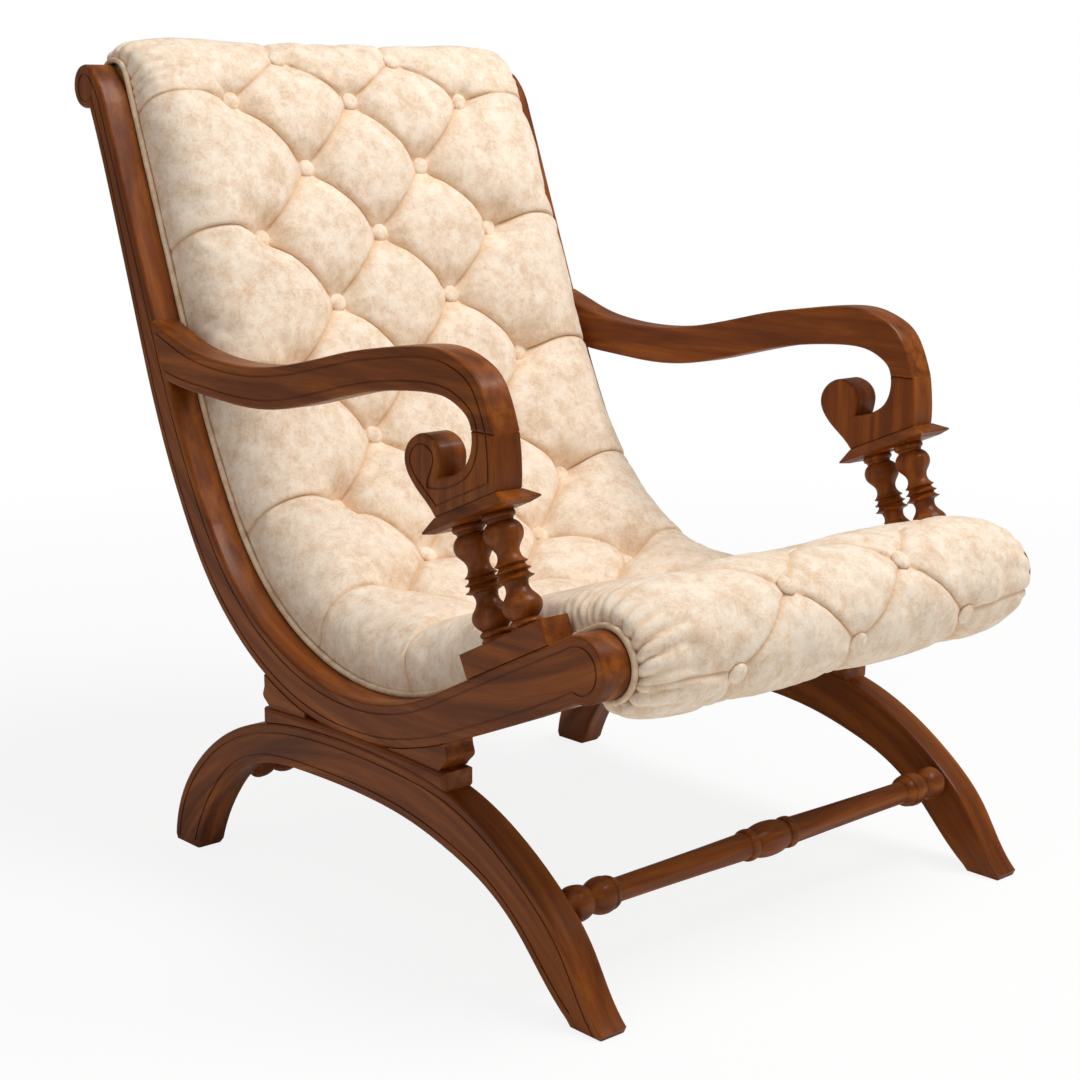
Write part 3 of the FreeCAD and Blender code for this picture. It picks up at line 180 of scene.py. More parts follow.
# %% Pleats
PAST_PIPING = 340 * MM
pleats = []
for row in range(len(row_levels) - 1):
    upper, lower = row_levels[row], row_levels[row + 1]
    for step in range(-2, 2):
        left, right = step * HALF, (step + 1) * HALF
        if (row + step) % 2:
            pleats.append(((left, upper), (right, lower)))
        else:
            pleats.append(((right, upper), (left, lower)))
for row in range(1, len(row_levels), 2):
    for side in (-1, 1):
        level = row_levels[row]
        pleats.append(((side * BUTTON_SPACING, level), (side * PAST_PIPING, level)))
for side in (-1, 1):
    pleats.append(((side * HALF, row_levels[0]), (side * HALF, 0)))
for x in (-BUTTON_SPACING, 0, BUTTON_SPACING):
    pleats.append(((x, row_levels[-1]), (x, LAST_LEVEL)))
print("pleats", len(pleats))

# %% Depth of the stuffing
CROWN = (
    (0.0, 5), (0.012, 7), (0.039, 23), (0.06, 38), (0.08, 49), (0.12, 57), (0.2, 62), (0.3, 62),
    (0.4, 65), (0.47, 73), (0.53, 74), (0.6, 69), (0.72, 69), (0.78, 62), (0.84, 51), (0.88, 42),
    (0.908, 36), (0.93, 34), (0.97, 30), (1.0, 22),
)
MIDDLE = (
    (0.0, 5), (0.012, 7), (0.039, 22), (0.06, 36), (0.08, 45), (0.12, 48), (0.2, 47), (0.3, 47),
    (0.4, 48), (0.47, 54), (0.53, 56), (0.6, 54), (0.72, 54), (0.78, 51), (0.84, 46), (0.88, 40),
    (0.908, 35), (0.93, 33), (0.97, 29), (1.0, 21),
)
SEAT = (
    (0.0, 3), (0.012, 4), (0.039, 14), (0.06, 23), (0.08, 27), (0.12, 25), (0.2, 24), (0.35, 25),
    (0.5, 30), (0.6, 33), (0.75, 34), (0.84, 33), (0.88, 30), (0.908, 27), (0.93, 25), (0.97, 21),
    (1.0, 15),
)
EASING = (-0.012, -0.006, 0, 0.006, 0.012)


def clamped(value):
    """A share, kept between 0 and 1."""
    return min(1, max(0, value))


def straight_read(table, share):
    """Value of a table at a share of the line, straight between its rows."""
    for (low, first), (high, second) in zip(table, table[1:]):
        if share <= high:
            return first + (second - first) * max(0, share - low) / (high - low)
    return table[-1][1]


def read(table, along):
    """Value of a table on the line, in metres, eased over its corners."""
    share = (CREST_LENGTH + along) / LINE_LENGTH
    around = [straight_read(table, share + off) for off in EASING]
    return sum(around) / len(around) * MM


print("crown in mid seat in mm", round(read(CROWN, RAIL_LENGTH * 0.7) / MM, 1))

# %% Distances to pleats and buttons
BIN = 60 * MM
pleat_bins, button_bins = {}, {}
for index in range(-3, int(LAST_LEVEL / BIN) + 5):
    low, high = (index - 1) * BIN, (index + 2) * BIN
    pleat_bins[index] = [
        (start, end) for start, end in pleats
        if max(start[1], end[1]) > low and min(start[1], end[1]) < high
    ]
    button_bins[index] = [(x, l) for x, l in buttons if low - BIN < l < high + BIN]


def to_pleat(across, level):
    """Distance to the nearest pleat, and the side of it, 1 below and -1 above."""
    best, side = 1, 0
    for (x0, l0), (x1, l1) in pleat_bins[int(level // BIN)]:
        dx, dl = x1 - x0, l1 - l0
        part = clamped(((across - x0) * dx + (level - l0) * dl) / (dx * dx + dl * dl))
        off = level - l0 - part * dl
        gap = math.hypot(across - x0 - part * dx, off)
        if gap < best:
            best, side = gap, 1 if off > 0 else -1
    return best, side


def nearest_button(across, level):
    """Distance to the nearest button, and the way from it."""
    ways = [(across - x, level - l) for x, l in button_bins[int(level // BIN)]]
    dx, dl = min(ways, key=lambda way: math.hypot(*way))
    return math.hypot(dx, dl), dx, dl


print("pleats near mid seat", len(pleat_bins[int(row_levels[12] // BIN)]))

# %% [markdown]
# A puff rises beside each pleat, steeply at first and then in a slow round. The pleat
# itself climbs from a button's seat to a ridge between two buttons, higher at the sides of
# the pad. Both are shares of the way from the seat of the buttons to the crown.

# %% Shape of a puff
BUTTON_SEAT = 9 * MM
BUTTON_WALL = 10 * MM
RIDGE_CLIMB = 23 * MM
PLEAT_WALL = 3.6 * MM
PUFF_ROUND = 24 * MM
SIDE_BLEND = 50 * MM
CROWN_BLEND = 110 * MM


def fullness(across, level):
    """0 at a button's seat, 1 on the crown of a puff, and between them along a pleat."""
    pleat = to_pleat(across, level)[0]
    button = max(0, nearest_button(across, level)[0] - BUTTON_SEAT)
    on_side = clamped((abs(across) - BUTTON_SPACING) / SIDE_BLEND)
    ridge = (0.64 + 0.26 * on_side) * (1 - math.exp(-(button / RIDGE_CLIMB) ** 2))
    wall = 0.62 * (1 - math.exp(-pleat / PLEAT_WALL))
    wall += 0.38 * (1 - math.exp(-(pleat / PUFF_ROUND) ** 2))
    wall *= 1 - math.exp(-button / BUTTON_WALL)
    return ridge + (1 - ridge) * wall


def crown_at(across, along):
    """Height of the puffs: fuller at the two sides, which no button holds down."""
    part = clamped((abs(across) - HALF) / CROWN_BLEND)
    part = part * part * (3 - 2 * part)
    middle = read(MIDDLE, along)
    return middle + (read(CROWN, along) - middle) * part


print("fullness mid puff", round(fullness(0, row_levels[6]), 2))

# %% [markdown]
# The pad is one sheet of velvet over stuffing. Its grid is laid so that every pleat runs
# through corners of the mesh, which keeps the creases crisp. Between the outer buttons the
# grid has four bands, each half a button spacing wide, with the same number of even squares
# in each. At each side the sheet goes over a full shoulder and down to the piping, drawn as
# a quarter of a squarish oval and walked in steps of equal length.

# %% Shoulder profile
SIDE_REACH = 109.6 * MM
SIDE_SPAN = 150 * MM
SIDE_HEIGHT_MM = 58
SIDE_STEPS = 19
OVAL_POWER = 3.7
OVAL_STEPS = 200
oval = []
for step in range(OVAL_STEPS + 1):
    turn = math.pi / 2 * step / OVAL_STEPS
    reach = math.sin(turn) ** (2 / OVAL_POWER)
    oval.append((reach, max(0, math.cos(turn)) ** (2 / OVAL_POWER)))
walked = [0.0]
for (x0, z0), (x1, z1) in zip(oval, oval[1:]):
    walked.append(walked[-1] + math.hypot((x1 - x0) * SIDE_REACH, (z1 - z0) * SIDE_HEIGHT_MM * MM))


def shoulder_reach(part):
    """Share of the reach at a part of the walk over the shoulder."""
    target = part * walked[-1]
    index = max(i for i, length in enumerate(walked) if length <= target)
    index = min(index, len(oval) - 2)
    rest = (target - walked[index]) / (walked[index + 1] - walked[index])
    return oval[index][0] + (oval[index + 1][0] - oval[index][0]) * rest


reaches = [shoulder_reach(step / SIDE_STEPS) for step in range(SIDE_STEPS + 1)]
print("shoulder walk in mm", round(walked[-1] / MM))

# %% Columns and rows of the sheet
SQUARES = 13
END_PITCH = 6 * MM
columns = [(-1, SIDE_STEPS - step) for step in range(SIDE_STEPS + 1)]
columns += [(0, step) for step in range(1, SQUARES * 4)]
columns += [(1, step) for step in range(SIDE_STEPS + 1)]
marks = [0] + row_levels + [LAST_LEVEL]
sheet_rows = [0.0]
for low, high in zip(marks, marks[1:]):
    at_end = low == 0 or high == LAST_LEVEL
    count = max(3, round((high - low) / END_PITCH)) if at_end else SQUARES
    sheet_rows += [low + (high - low) * (step + 1) / count for step in range(count)]
print("sheet", len(columns), "by", len(sheet_rows))

# %% [markdown]
# Each corner of the sheet has a place across the flat cloth and a level on the tape, and
# one function takes it to its place over the stuffing. At the piping the sheet is drawn in
# to the pad's foot. The shoulder is rounder at the front roll, whose two ends bulge past
# the rails' blocks, more at the sitter's left, as the photograph shows.

# %% Lay the sheet over the stuffing
PAD_BASE = 2.3 * MM
FOOT_X = 281 * MM
DRAWN_HEIGHT = 14 * MM
SIDE_BOW, BOW_TURN = 9 * MM, 1.15 * math.pi
BOW_FADE = 60 * MM
ROUNDER_LENGTH, ROUNDER_POWER = 90 * MM, 1.2
NOSE_BULGE = {-1: 5 * MM, 1: 18 * MM}
BULGE_LEAD, BULGE_BLEND, BULGE_FADE = 20 * MM, 40 * MM, 30 * MM
RAIL_CLEAR = 12 * MM


def across_of(column):
    """Place across the flat cloth."""
    side, step = column
    if side == 0:
        return -BUTTON_SPACING + step * HALF / SQUARES
    return side * (BUTTON_SPACING + SIDE_SPAN * step / SIDE_STEPS)


def bowed(column, level):
    """Level of a place once its row has bowed up over the shoulder, as the side pleats do."""
    side, step = column
    if not side:
        return level
    from_ends = min(1, level / BOW_FADE, (LAST_LEVEL - level) / BOW_FADE)
    return level - SIDE_BOW * math.sin(BOW_TURN * step / SIDE_STEPS) * from_ends


def pad_point(column, level):
    """Place of a corner of the sheet over the stuffing."""
    side, step = column
    across = across_of(column)
    along = along_of(bowed(column, level))
    seat = read(SEAT, along)
    rise = seat + (crown_at(across, along) - seat) * fullness(across, level)
    if not side:
        return on_line(along, PAD_BASE + rise, across)
    rounder = clamped((along - RAIL_LENGTH + ROUNDER_LENGTH) / ROUNDER_LENGTH)
    power = OVAL_POWER - ROUNDER_POWER * rounder
    reach = reaches[step]
    rise *= max(0, 1 - reach ** power) ** (1 / power)
    draw_in = max(0, 1 - rise / DRAWN_HEIGHT)
    out = BUTTON_SPACING + reach * SIDE_REACH
    out -= (BUTTON_SPACING + SIDE_REACH - FOOT_X) * draw_in ** 2
    past_block = clamped((along - RAIL_LENGTH + BULGE_LEAD) / BULGE_BLEND)
    to_end = clamped((LINE_LENGTH - CREST_LENGTH - along) / BULGE_FADE)
    over_rail = min(1, rise / RAIL_CLEAR) * max(0, 2 * reach - 1)
    out += NOSE_BULGE[side] * past_block * to_end * over_rail
    return on_line(along, PAD_BASE + rise, side * out)


print("foot of the sheet at x", round(pad_point((1, SIDE_STEPS), row_levels[6]).x, 4))

# %% Make the sheet's mesh
bm = bmesh.new()
across_layer = bm.verts.layers.float.new("across")
level_layer = bm.verts.layers.float.new("level")
crease_layer = bm.edges.layers.float.new("crease_edge")
last_column, last_row = len(columns) - 1, len(sheet_rows) - 1
bmesh.ops.create_grid(bm, x_segments=last_column, y_segments=last_row, size=1)
spot_of = {}
for vert in bm.verts:
    i = round((vert.co.x + 1) / 2 * last_column)
    j = round((vert.co.y + 1) / 2 * last_row)
    spot_of[vert] = (i, j)
    vert[across_layer] = across_of(columns[i])
    vert[level_layer] = sheet_rows[j]
    vert.co = pad_point(columns[i], sheet_rows[j])
gap_of = {vert: to_pleat(vert[across_layer], vert[level_layer])[0] for vert in bm.verts}
print("sheet corners", len(bm.verts))

# %% [markdown]
# Where a pleat crosses a square from corner to corner, the square is split along it, so
# that the crease lies on an edge. The two long edges are then bridged under the pad and
# the ends filled, which makes it a closed form that can hold air in the simulation.

# %% Split along the pleats and close the pad
ON_PLEAT = 0.05 * MM
splits = []
for face in bm.faces:
    a, b, c, d = face.verts
    for pair in ((a, c), (b, d)):
        if all(gap_of[vert] < ON_PLEAT for vert in pair):
            splits.append(pair)
for pair in splits:
    bmesh.ops.connect_vert_pair(bm, verts=list(pair))
rim = [edge for edge in bm.edges if edge.is_boundary]
left_rim = [edge for edge in rim if all(spot_of[v][0] == 0 for v in edge.verts)]
right_rim = [edge for edge in rim if all(spot_of[v][0] == last_column for v in edge.verts)]
for edge in rim:
    edge[crease_layer] = 1
bmesh.ops.bridge_loops(bm, edges=left_rim + right_rim)
bmesh.ops.holes_fill(bm, edges=[edge for edge in bm.edges if edge.is_boundary], sides=0)
bmesh.ops.recalc_face_normals(bm, faces=bm.faces)
print("splits", len(splits), "open edges", sum(edge.is_boundary for edge in bm.edges))

# %% Corners that the stitches hold
HELD_RADIUS = 13 * MM
bm.verts.index_update()
held = []
for vert in bm.verts:
    i, j = spot_of[vert]
    near_button = nearest_button(vert[across_layer], vert[level_layer])[0] < HELD_RADIUS
    if gap_of[vert] < ON_PLEAT or near_button or i in (0, last_column) or j in (0, last_row):
        held.append(vert.index)
print("held", len(held))


# %% One function makes a finished piece of a bmesh
def piece_from(bm, name):
    """A smooth object with the bmesh as its mesh, linked to the scene."""
    mesh = bpy.data.meshes.new(name)
    bm.to_mesh(mesh)
    bm.free()
    mesh.shade_smooth()
    piece = bpy.data.objects.new(name, mesh)
    bpy.context.scene.collection.objects.link(piece)
    return piece


pad = piece_from(bm, "tufted_cover")
print(pad.name, "corners", len(pad.data.vertices))

# %% [markdown]
# Real stuffing pushes the velvet out between the lines that hold it. The sheet is held at
# the buttons, along the pleats and at the piping, and a short cloth simulation with air
# pressure, no gravity and a little spare cloth lets the rest swell and settle in soft
# folds. No point may move more than a few millimetres, so the pad keeps its size.

# %% Swell the pad
SWELL_LIMIT = 4 * MM
SWELL_FRAMES = 20


def swell(piece, held, pressure, spare, limit):
    """Swells a piece as stuffed cloth, and gives the farthest that a corner would go."""
    scene = bpy.context.scene
    piece.vertex_groups.new(name="held").add(held, 1, "REPLACE")
    cloth = piece.modifiers.new("swell", "CLOTH")
    cloth.settings.quality = 5
    cloth.settings.mass = 0.3
    cloth.settings.vertex_group_mass = "held"
    cloth.settings.use_pressure = True
    cloth.settings.uniform_pressure_force = pressure
    cloth.settings.shrink_min = -spare
    cloth.settings.effector_weights.gravity = 0
    cloth.collision_settings.use_collision = False
    cloth.point_cache.frame_start, cloth.point_cache.frame_end = 1, SWELL_FRAMES
    for frame_number in range(1, SWELL_FRAMES + 1):
        scene.frame_set(frame_number)
    moved = piece.evaluated_get(bpy.context.evaluated_depsgraph_get()).data
    places = [vertex.co.copy() for vertex in moved.vertices]
    piece.modifiers.remove(cloth)
    scene.frame_set(1)
    farthest = 0
    for vertex, place in zip(piece.data.vertices, places):
        step = place - vertex.co
        farthest = max(farthest, step.length)
        if step.length > limit:
            step *= limit / step.length
        vertex.co += step
    piece.vertex_groups.clear()
    return farthest


farthest = swell(pad, held, pressure=4, spare=0.02, limit=SWELL_LIMIT)
print("farthest swell in mm", round(farthest / MM, 1))


# %% Subdivide once
def subdivided(piece):
    """Gives the piece its subdivided mesh, with its attributes kept."""
    finer = piece.modifiers.new("finer", "SUBSURF")
    finer.levels = finer.render_levels = 1
    graph = bpy.context.evaluated_depsgraph_get()
    result = piece.evaluated_get(graph)
    mesh = bpy.data.meshes.new_from_object(result, preserve_all_data_layers=True, depsgraph=graph)
    piece.modifiers.remove(finer)
    piece.data = mesh
    mesh.shade_smooth()


subdivided(pad)
print("corners", len(pad.data.vertices))

# %% [markdown]
# The fine work comes last, on the subdivided sheet. A crease line sinks along each pleat,
# and the upper puff laps over it a little, as an upholsterer lays each pleat downwards.
# Small folds run out of each button. Round the front roll and the crest the cloth is
# gathered at the piping, because the roll's end is shorter than its face. The sitter's
# left is stuffed fuller, which pulls its gathers out to half the depth.

# %% Gathers
GATHER_PITCH = 11 * MM
GATHER_REACH = 112 * MM
GATHER_DEPTH = 7.5 * MM
NOSE_BLEND = 60 * MM
CREST_END, CREST_BLEND = 45 * MM, 40 * MM


def gathers(across, along):
    """Height of the gathers beside the piping: round ridges with narrow valleys."""
    from_piping = BUTTON_SPACING + SIDE_SPAN - abs(across)
    if from_piping > GATHER_REACH:
        return 0
    round_nose = clamped((along - RAIL_LENGTH + NOSE_BLEND) / NOSE_BLEND)
    round_crest = clamped((CREST_END - along) / CREST_BLEND)
    strength = (0.06 + 0.94 * max(round_nose, round_crest)) * (0.5 if across > 0 else 1)
    wander = noise.noise(Vector((along * 25, across * 14, 3))) * 0.55
    ridge = abs(math.sin((along / GATHER_PITCH + wander) * math.pi)) ** 0.6 - 0.75
    uneven = 0.75 + 0.5 * noise.noise(Vector((along * 60, 2, 8)))
    fade = min(1, (1 - from_piping / GATHER_REACH) * 2.2)
    return strength * uneven * GATHER_DEPTH * ridge * fade ** 1.4


print("gathers round the nose", round(NOSE_LENGTH / GATHER_PITCH))

# %% Creases, laps and button folds
CREASE_DEPTH, CREASE_WIDTH = 2.8 * MM, 2 * MM
LAP, LAP_WIDTH = 1.7 * MM, 4 * MM
CLEAR_WIDTH = 10 * MM
FOLDS, FOLD_HEIGHT = 9, 0.9 * MM
FOLD_START, FOLD_END, FOLD_FADE = 8 * MM, 60 * MM, 16 * MM
SOFT_DENT, FINE_DENT = 1.1 * MM, 0.35 * MM


def cloth_detail(across, level, along):
    """What creases, folds and gathers add along the normal, and the lap down the line."""
    gap, side = to_pleat(across, level)
    button, dx, dl = nearest_button(across, level)
    clear = clamped((button - BUTTON_SEAT) / CLEAR_WIDTH)
    height = -CREASE_DEPTH * math.exp(-gap / CREASE_WIDTH) * clear
    if side < 0:
        lap = LAP * gap / LAP_WIDTH * math.exp(1 - gap / LAP_WIDTH)
    else:
        lap = -0.6 * LAP * math.exp(-gap / CREASE_WIDTH)
    if FOLD_START < button < FOLD_END:
        turn = math.atan2(dl, dx)
        wander = 2 * noise.noise(Vector((dx * 20, dl * 20, level * 7)))
        fold = math.cos(turn * FOLDS + wander + level * 50)
        height += FOLD_HEIGHT * fold * math.exp(-(button - FOLD_START) / FOLD_FADE) * clear
    plan = Vector((across, level, 0))
    height += SOFT_DENT * noise.noise(plan * 17) + FINE_DENT * noise.noise(plan * 70)
    return height + gathers(across, along), lap * clear


print("lap at its fullest in mm", round(LAP / MM, 1))

# %% [markdown]
# Only the face of the sheet is worked, not the strip under the pad. A value is kept on the
# mesh as well: how deep a place lies in a crease or between two gathers. The velvet uses it
# to paint shade into the creases and gathers, darker and warmer there.

# %% Work the sheet and keep its painted crease shade
GATHER_SHADE_DEPTH = 5 * MM
normals = [vertex.normal.copy() for vertex in pad.data.vertices]
acrosses, levels = pad.data.attributes["across"].data, pad.data.attributes["level"].data
painted_fold_shade = pad.data.attributes.new("painted_fold_shade", "FLOAT", "POINT")
for vertex in pad.data.vertices:
    across, level = acrosses[vertex.index].value, levels[vertex.index].value
    if abs(across) > BUTTON_SPACING + SIDE_SPAN * 0.999:
        continue
    along = along_of(level)
    off_line = (vertex.co - on_line(along, 0, vertex.co.x)).length
    if abs(vertex.co.x) < FOOT_X - 1 * MM and off_line < PAD_BASE * 1.01:
        continue
    height, lap = cloth_detail(across, level, along)
    vertex.co += normals[vertex.index] * height + down_at(along) * lap
    # Painted shade: full in a crease or deep between two gathers, none on the open puffs.
    gap = to_pleat(across, level)[0] / MM
    crease_shade = 0.7 * math.exp(-gap / 1.6) + 0.3 * math.exp(-gap / 7)
    painted_fold_shade.data[vertex.index].value = crease_shade + clamped(-gathers(across, along) / GATHER_SHADE_DEPTH)
pad_low = min(vertex.co.z for vertex in pad.data.vertices)
print("pad from", round(pad_low, 3), "to", round(max(v.co.z for v in pad.data.vertices), 3))
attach(pad, "root")
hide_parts("tufted_pad")

# %% [markdown]
# The buttons are steel shells covered in the same velvet. Each is a squashed ball that
# lies half sunk in its hollow, square to the line there and tipped a little by hand.

# %% Covered buttons
BUTTON_RADIUS, BUTTON_HEIGHT = 10.8 * MM, 4.6 * MM
BUTTON_LIFT = 2.6 * MM
BUTTON_TIP = 0.07
bm = bmesh.new()
luck = random.Random(7)
for x, level in buttons:
    along = along_of(level)
    rise = PAD_BASE + read(SEAT, along) + BUTTON_LIFT
    round_x, round_y = [
        Matrix.Rotation(luck.uniform(-BUTTON_TIP, BUTTON_TIP), 4, axis) for axis in "XY"
    ]
    tipped = round_x @ round_y
    seat = station(along) @ Matrix.Translation((x, 0, rise)) @ tipped
    squash = Matrix.Diagonal((BUTTON_RADIUS, BUTTON_RADIUS, BUTTON_HEIGHT, 1))
    bmesh.ops.create_uvsphere(bm, u_segments=28, v_segments=14, radius=1, matrix=seat @ squash)
bmesh.ops.recalc_face_normals(bm, faces=bm.faces)
button_covers = piece_from(bm, "covered_buttons")
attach(button_covers, "root")
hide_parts("tuft_buttons")
print("buttons", len(buttons), "corners", len(button_covers.data.vertices))

# %% [markdown]
# The piping is a strip of the same velvet sewn round a cord. It runs along both edges of
# the pad, lies on the eased edge of the rail and closes the slot between rail and pad. A
# curve with a round bevel gives it, and its points wander and swell a little, as hand-sewn
# piping does.

# %% Piping
PIPING_X = 284.3 * MM
PIPING_RISE, PIPING_WANDER = 2.8 * MM, 0.4 * MM
PIPING_RADIUS = 3.3 * MM
PIPING_POINTS = 360
pipings = []
for side, name in ((-1, "piping_cover_right"), (1, "piping_cover_left")):
    curve = bpy.data.curves.new(name, "CURVE")
    curve.dimensions = "3D"
    curve.bevel_depth = PIPING_RADIUS
    curve.bevel_resolution = 3
    curve.use_fill_caps = True
    line = curve.splines.new("POLY")
    line.points.add(PIPING_POINTS - 1)
    for index, point in enumerate(line.points):
        along = LINE_LENGTH * index / (PIPING_POINTS - 1) - CREST_LENGTH
        wander = PIPING_WANDER * noise.noise(Vector((along * 34, side, 5)))
        point.co = (*on_line(along, PIPING_RISE + wander, side * PIPING_X), 1)
        point.radius = 1 + 0.07 * noise.noise(Vector((along * 60, side, 9)))
    tube = bpy.data.objects.new(name + "_line", curve)
    bpy.context.scene.collection.objects.link(tube)
    graph = bpy.context.evaluated_depsgraph_get()
    mesh = bpy.data.meshes.new_from_object(tube.evaluated_get(graph))
    bpy.data.objects.remove(tube)
    mesh.shade_smooth()
    piping = bpy.data.objects.new(name, mesh)
    bpy.context.scene.collection.objects.link(piping)
    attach(piping, "root")
    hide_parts("piping_right" if side < 0 else "piping_left")
    pipings.append(piping)
    print(name, "corners", len(mesh.vertices))

# %% [markdown]
# Under the pad a firm strip of foam lies on the slats, and thin cotton closes the frame
# behind the back and under the seat. Both follow the same line, so one helper bends a flat
# grid to it: across, along and rise become a place on the chair.

# %% Bend flat work to the line
FOAM_WIDTH = 553.6 * MM
FOAM_LOW, FOAM_HIGH = -9.7 * MM, 2 * MM


def bend(bm, width, start, end, rise_at):
    """Bends a unit grid, or a unit slab on it, to the chair."""
    for vert in bm.verts:
        along = start + (end - start) * (vert.co.y + 0.5)
        vert.co = on_line(along, rise_at(along, vert.co.z), vert.co.x * width)


bm = bmesh.new()
bmesh.ops.create_grid(bm, x_segments=6, y_segments=160, size=0.5)
raised = bmesh.ops.extrude_face_region(bm, geom=bm.faces[:])["geom"]
upper = [part for part in raised if isinstance(part, bmesh.types.BMVert)]
bmesh.ops.translate(bm, verts=upper, vec=(0, 0, 1))
bend(
    bm, FOAM_WIDTH, -CREST_LENGTH, LINE_LENGTH - CREST_LENGTH,
    lambda along, layer: FOAM_LOW + (FOAM_HIGH - FOAM_LOW) * layer,
)
bmesh.ops.recalc_face_normals(bm, faces=bm.faces)
foam = piece_from(bm, "foam_strip")
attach(foam, "root")
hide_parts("foam")
print("foam corners", len(foam.data.vertices))

# %% [markdown]
# The linings are stapled 3 mm inside the rear and lower edges of the side rails. A table
# of the rail's width down the line, as shares of its plain width, says how far behind the
# seat line that is. They are cut from flat cotton, and a Solidify gives them their wall.

# %% Cotton linings behind the back and under the seat
RAIL_WIDTH = 44 * MM
LINING_INSET = 3 * MM
RAIL_SHARES = (
    (0.0, 0.75), (0.11, 0.75), (0.2, 0.84), (0.28, 0.93), (0.37, 0.98), (0.46, 1.0),
    (0.6, 1.02), (0.72, 1.0), (0.78, 1.06), (0.83, 1.17), (0.9, 1.28), (1.0, 1.32),
)
LINING_WIDTH = 568 * MM
LINING_WALL, LINING_LIFT = 1 * MM, 0.6 * MM
SPLIT = RAIL_LENGTH * 10 / 16


def lining_rise(along, layer):
    """Rise of a lining's middle, behind the seat line."""
    face = LINING_INSET - RAIL_WIDTH * straight_read(RAIL_SHARES, along / RAIL_LENGTH)
    return face + LINING_LIFT


linings = []
for name, node, start, end, rests in (
    ("back_cloth", "back_lining", CREST_RADIUS, SPLIT, ["waist_rail"]),
    ("seat_cloth", "seat_lining", SPLIT, RAIL_LENGTH - NOSE_RADIUS, ["seat_rail"]),
):
    bm = bmesh.new()
    bmesh.ops.create_grid(bm, x_segments=40, y_segments=60, size=0.5)
    flat_cloth = bm.loops.layers.uv.new("flat_cloth")
    for face in bm.faces:
        for loop in face.loops:
            loop[flat_cloth].uv = (loop.vert.co.x * LINING_WIDTH, loop.vert.co.y * (end - start))
    bend(bm, LINING_WIDTH, start, end, lining_rise)
    area = sum(face.calc_area() for face in bm.faces)
    cloth = piece_from(bm, name)
    wall = cloth.modifiers.new("thickness", "SOLIDIFY")
    wall.thickness, wall.offset = LINING_WALL, 0
    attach(cloth, "root")
    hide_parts(node)
    linings.append(cloth)
    print(name, "length in mm", round(area / LINING_WIDTH / MM, 1))

# %% [markdown]
# Materials. Each is made of a few nodes, so one small function adds a node with its
# settings, its values and its links. Colours are written as the eye sees them and turned
# to the light values that the renderer works in.


# %% Node and colour helpers
def add_node(tree, kind, settings=None, inputs=None):
    """A node of a kind, with its settings, and each input given a value or a link."""
    node = tree.nodes.new(kind)
    for name, value in (settings or {}).items():
        setattr(node, name, value)
    for name, value in (inputs or {}).items():
        if isinstance(value, bpy.types.NodeSocket):
            tree.links.new(value, node.inputs[name])
        else:
            node.inputs[name].default_value = value
    return node


def colour(text):
    """Linear colour of an sRGB hex value."""
    values = [int(text[place:place + 2], 16) / 255 for place in (1, 3, 5)]
    return [v / 12.92 if v <= 0.04045 else ((v + 0.055) / 1.055) ** 2.4 for v in values] + [1]


def blank_material(name):
    """A material with only its output, and the coordinates of the piece."""
    material = bpy.data.materials.new(name)
    material.use_nodes = True
    tree = material.node_tree
    tree.nodes.clear()
    output = add_node(tree, "ShaderNodeOutputMaterial")
    place = add_node(tree, "ShaderNodeTexCoord").outputs["Object"]
    return material, tree, output, place


# %% [markdown]
# Stained hardwood under satin lacquer. Stain sinks into the open pores and leaves dark
# fibres along the grain, and the lacquer gives a soft, even shine that brightens the
# rounded edges. The grain is noise stretched along each piece, so the same function is
# called with the direction in which that piece was sawn, or with the middle of the bow
# that a bent piece follows, with 1 for a piece above that middle and -1 for one below it,
# so that the jump in the angle falls where there is no wood. The streaks are 16 mm wide
# and 240 mm long. Real pores are about 0.3 mm wide, too fine to show, and are drawn 1.3 mm
# wide and 30 mm long.

# %% Stained hardwood
HARDWOOD = ("#A35B1C", "#793C0C", "#4B2105")
STREAK_SIZE = (0.016, 0.24, 0.016)
PORE_SIZE = (0.0013, 0.03, 0.0013)
BOW_RADIUS = 0.45


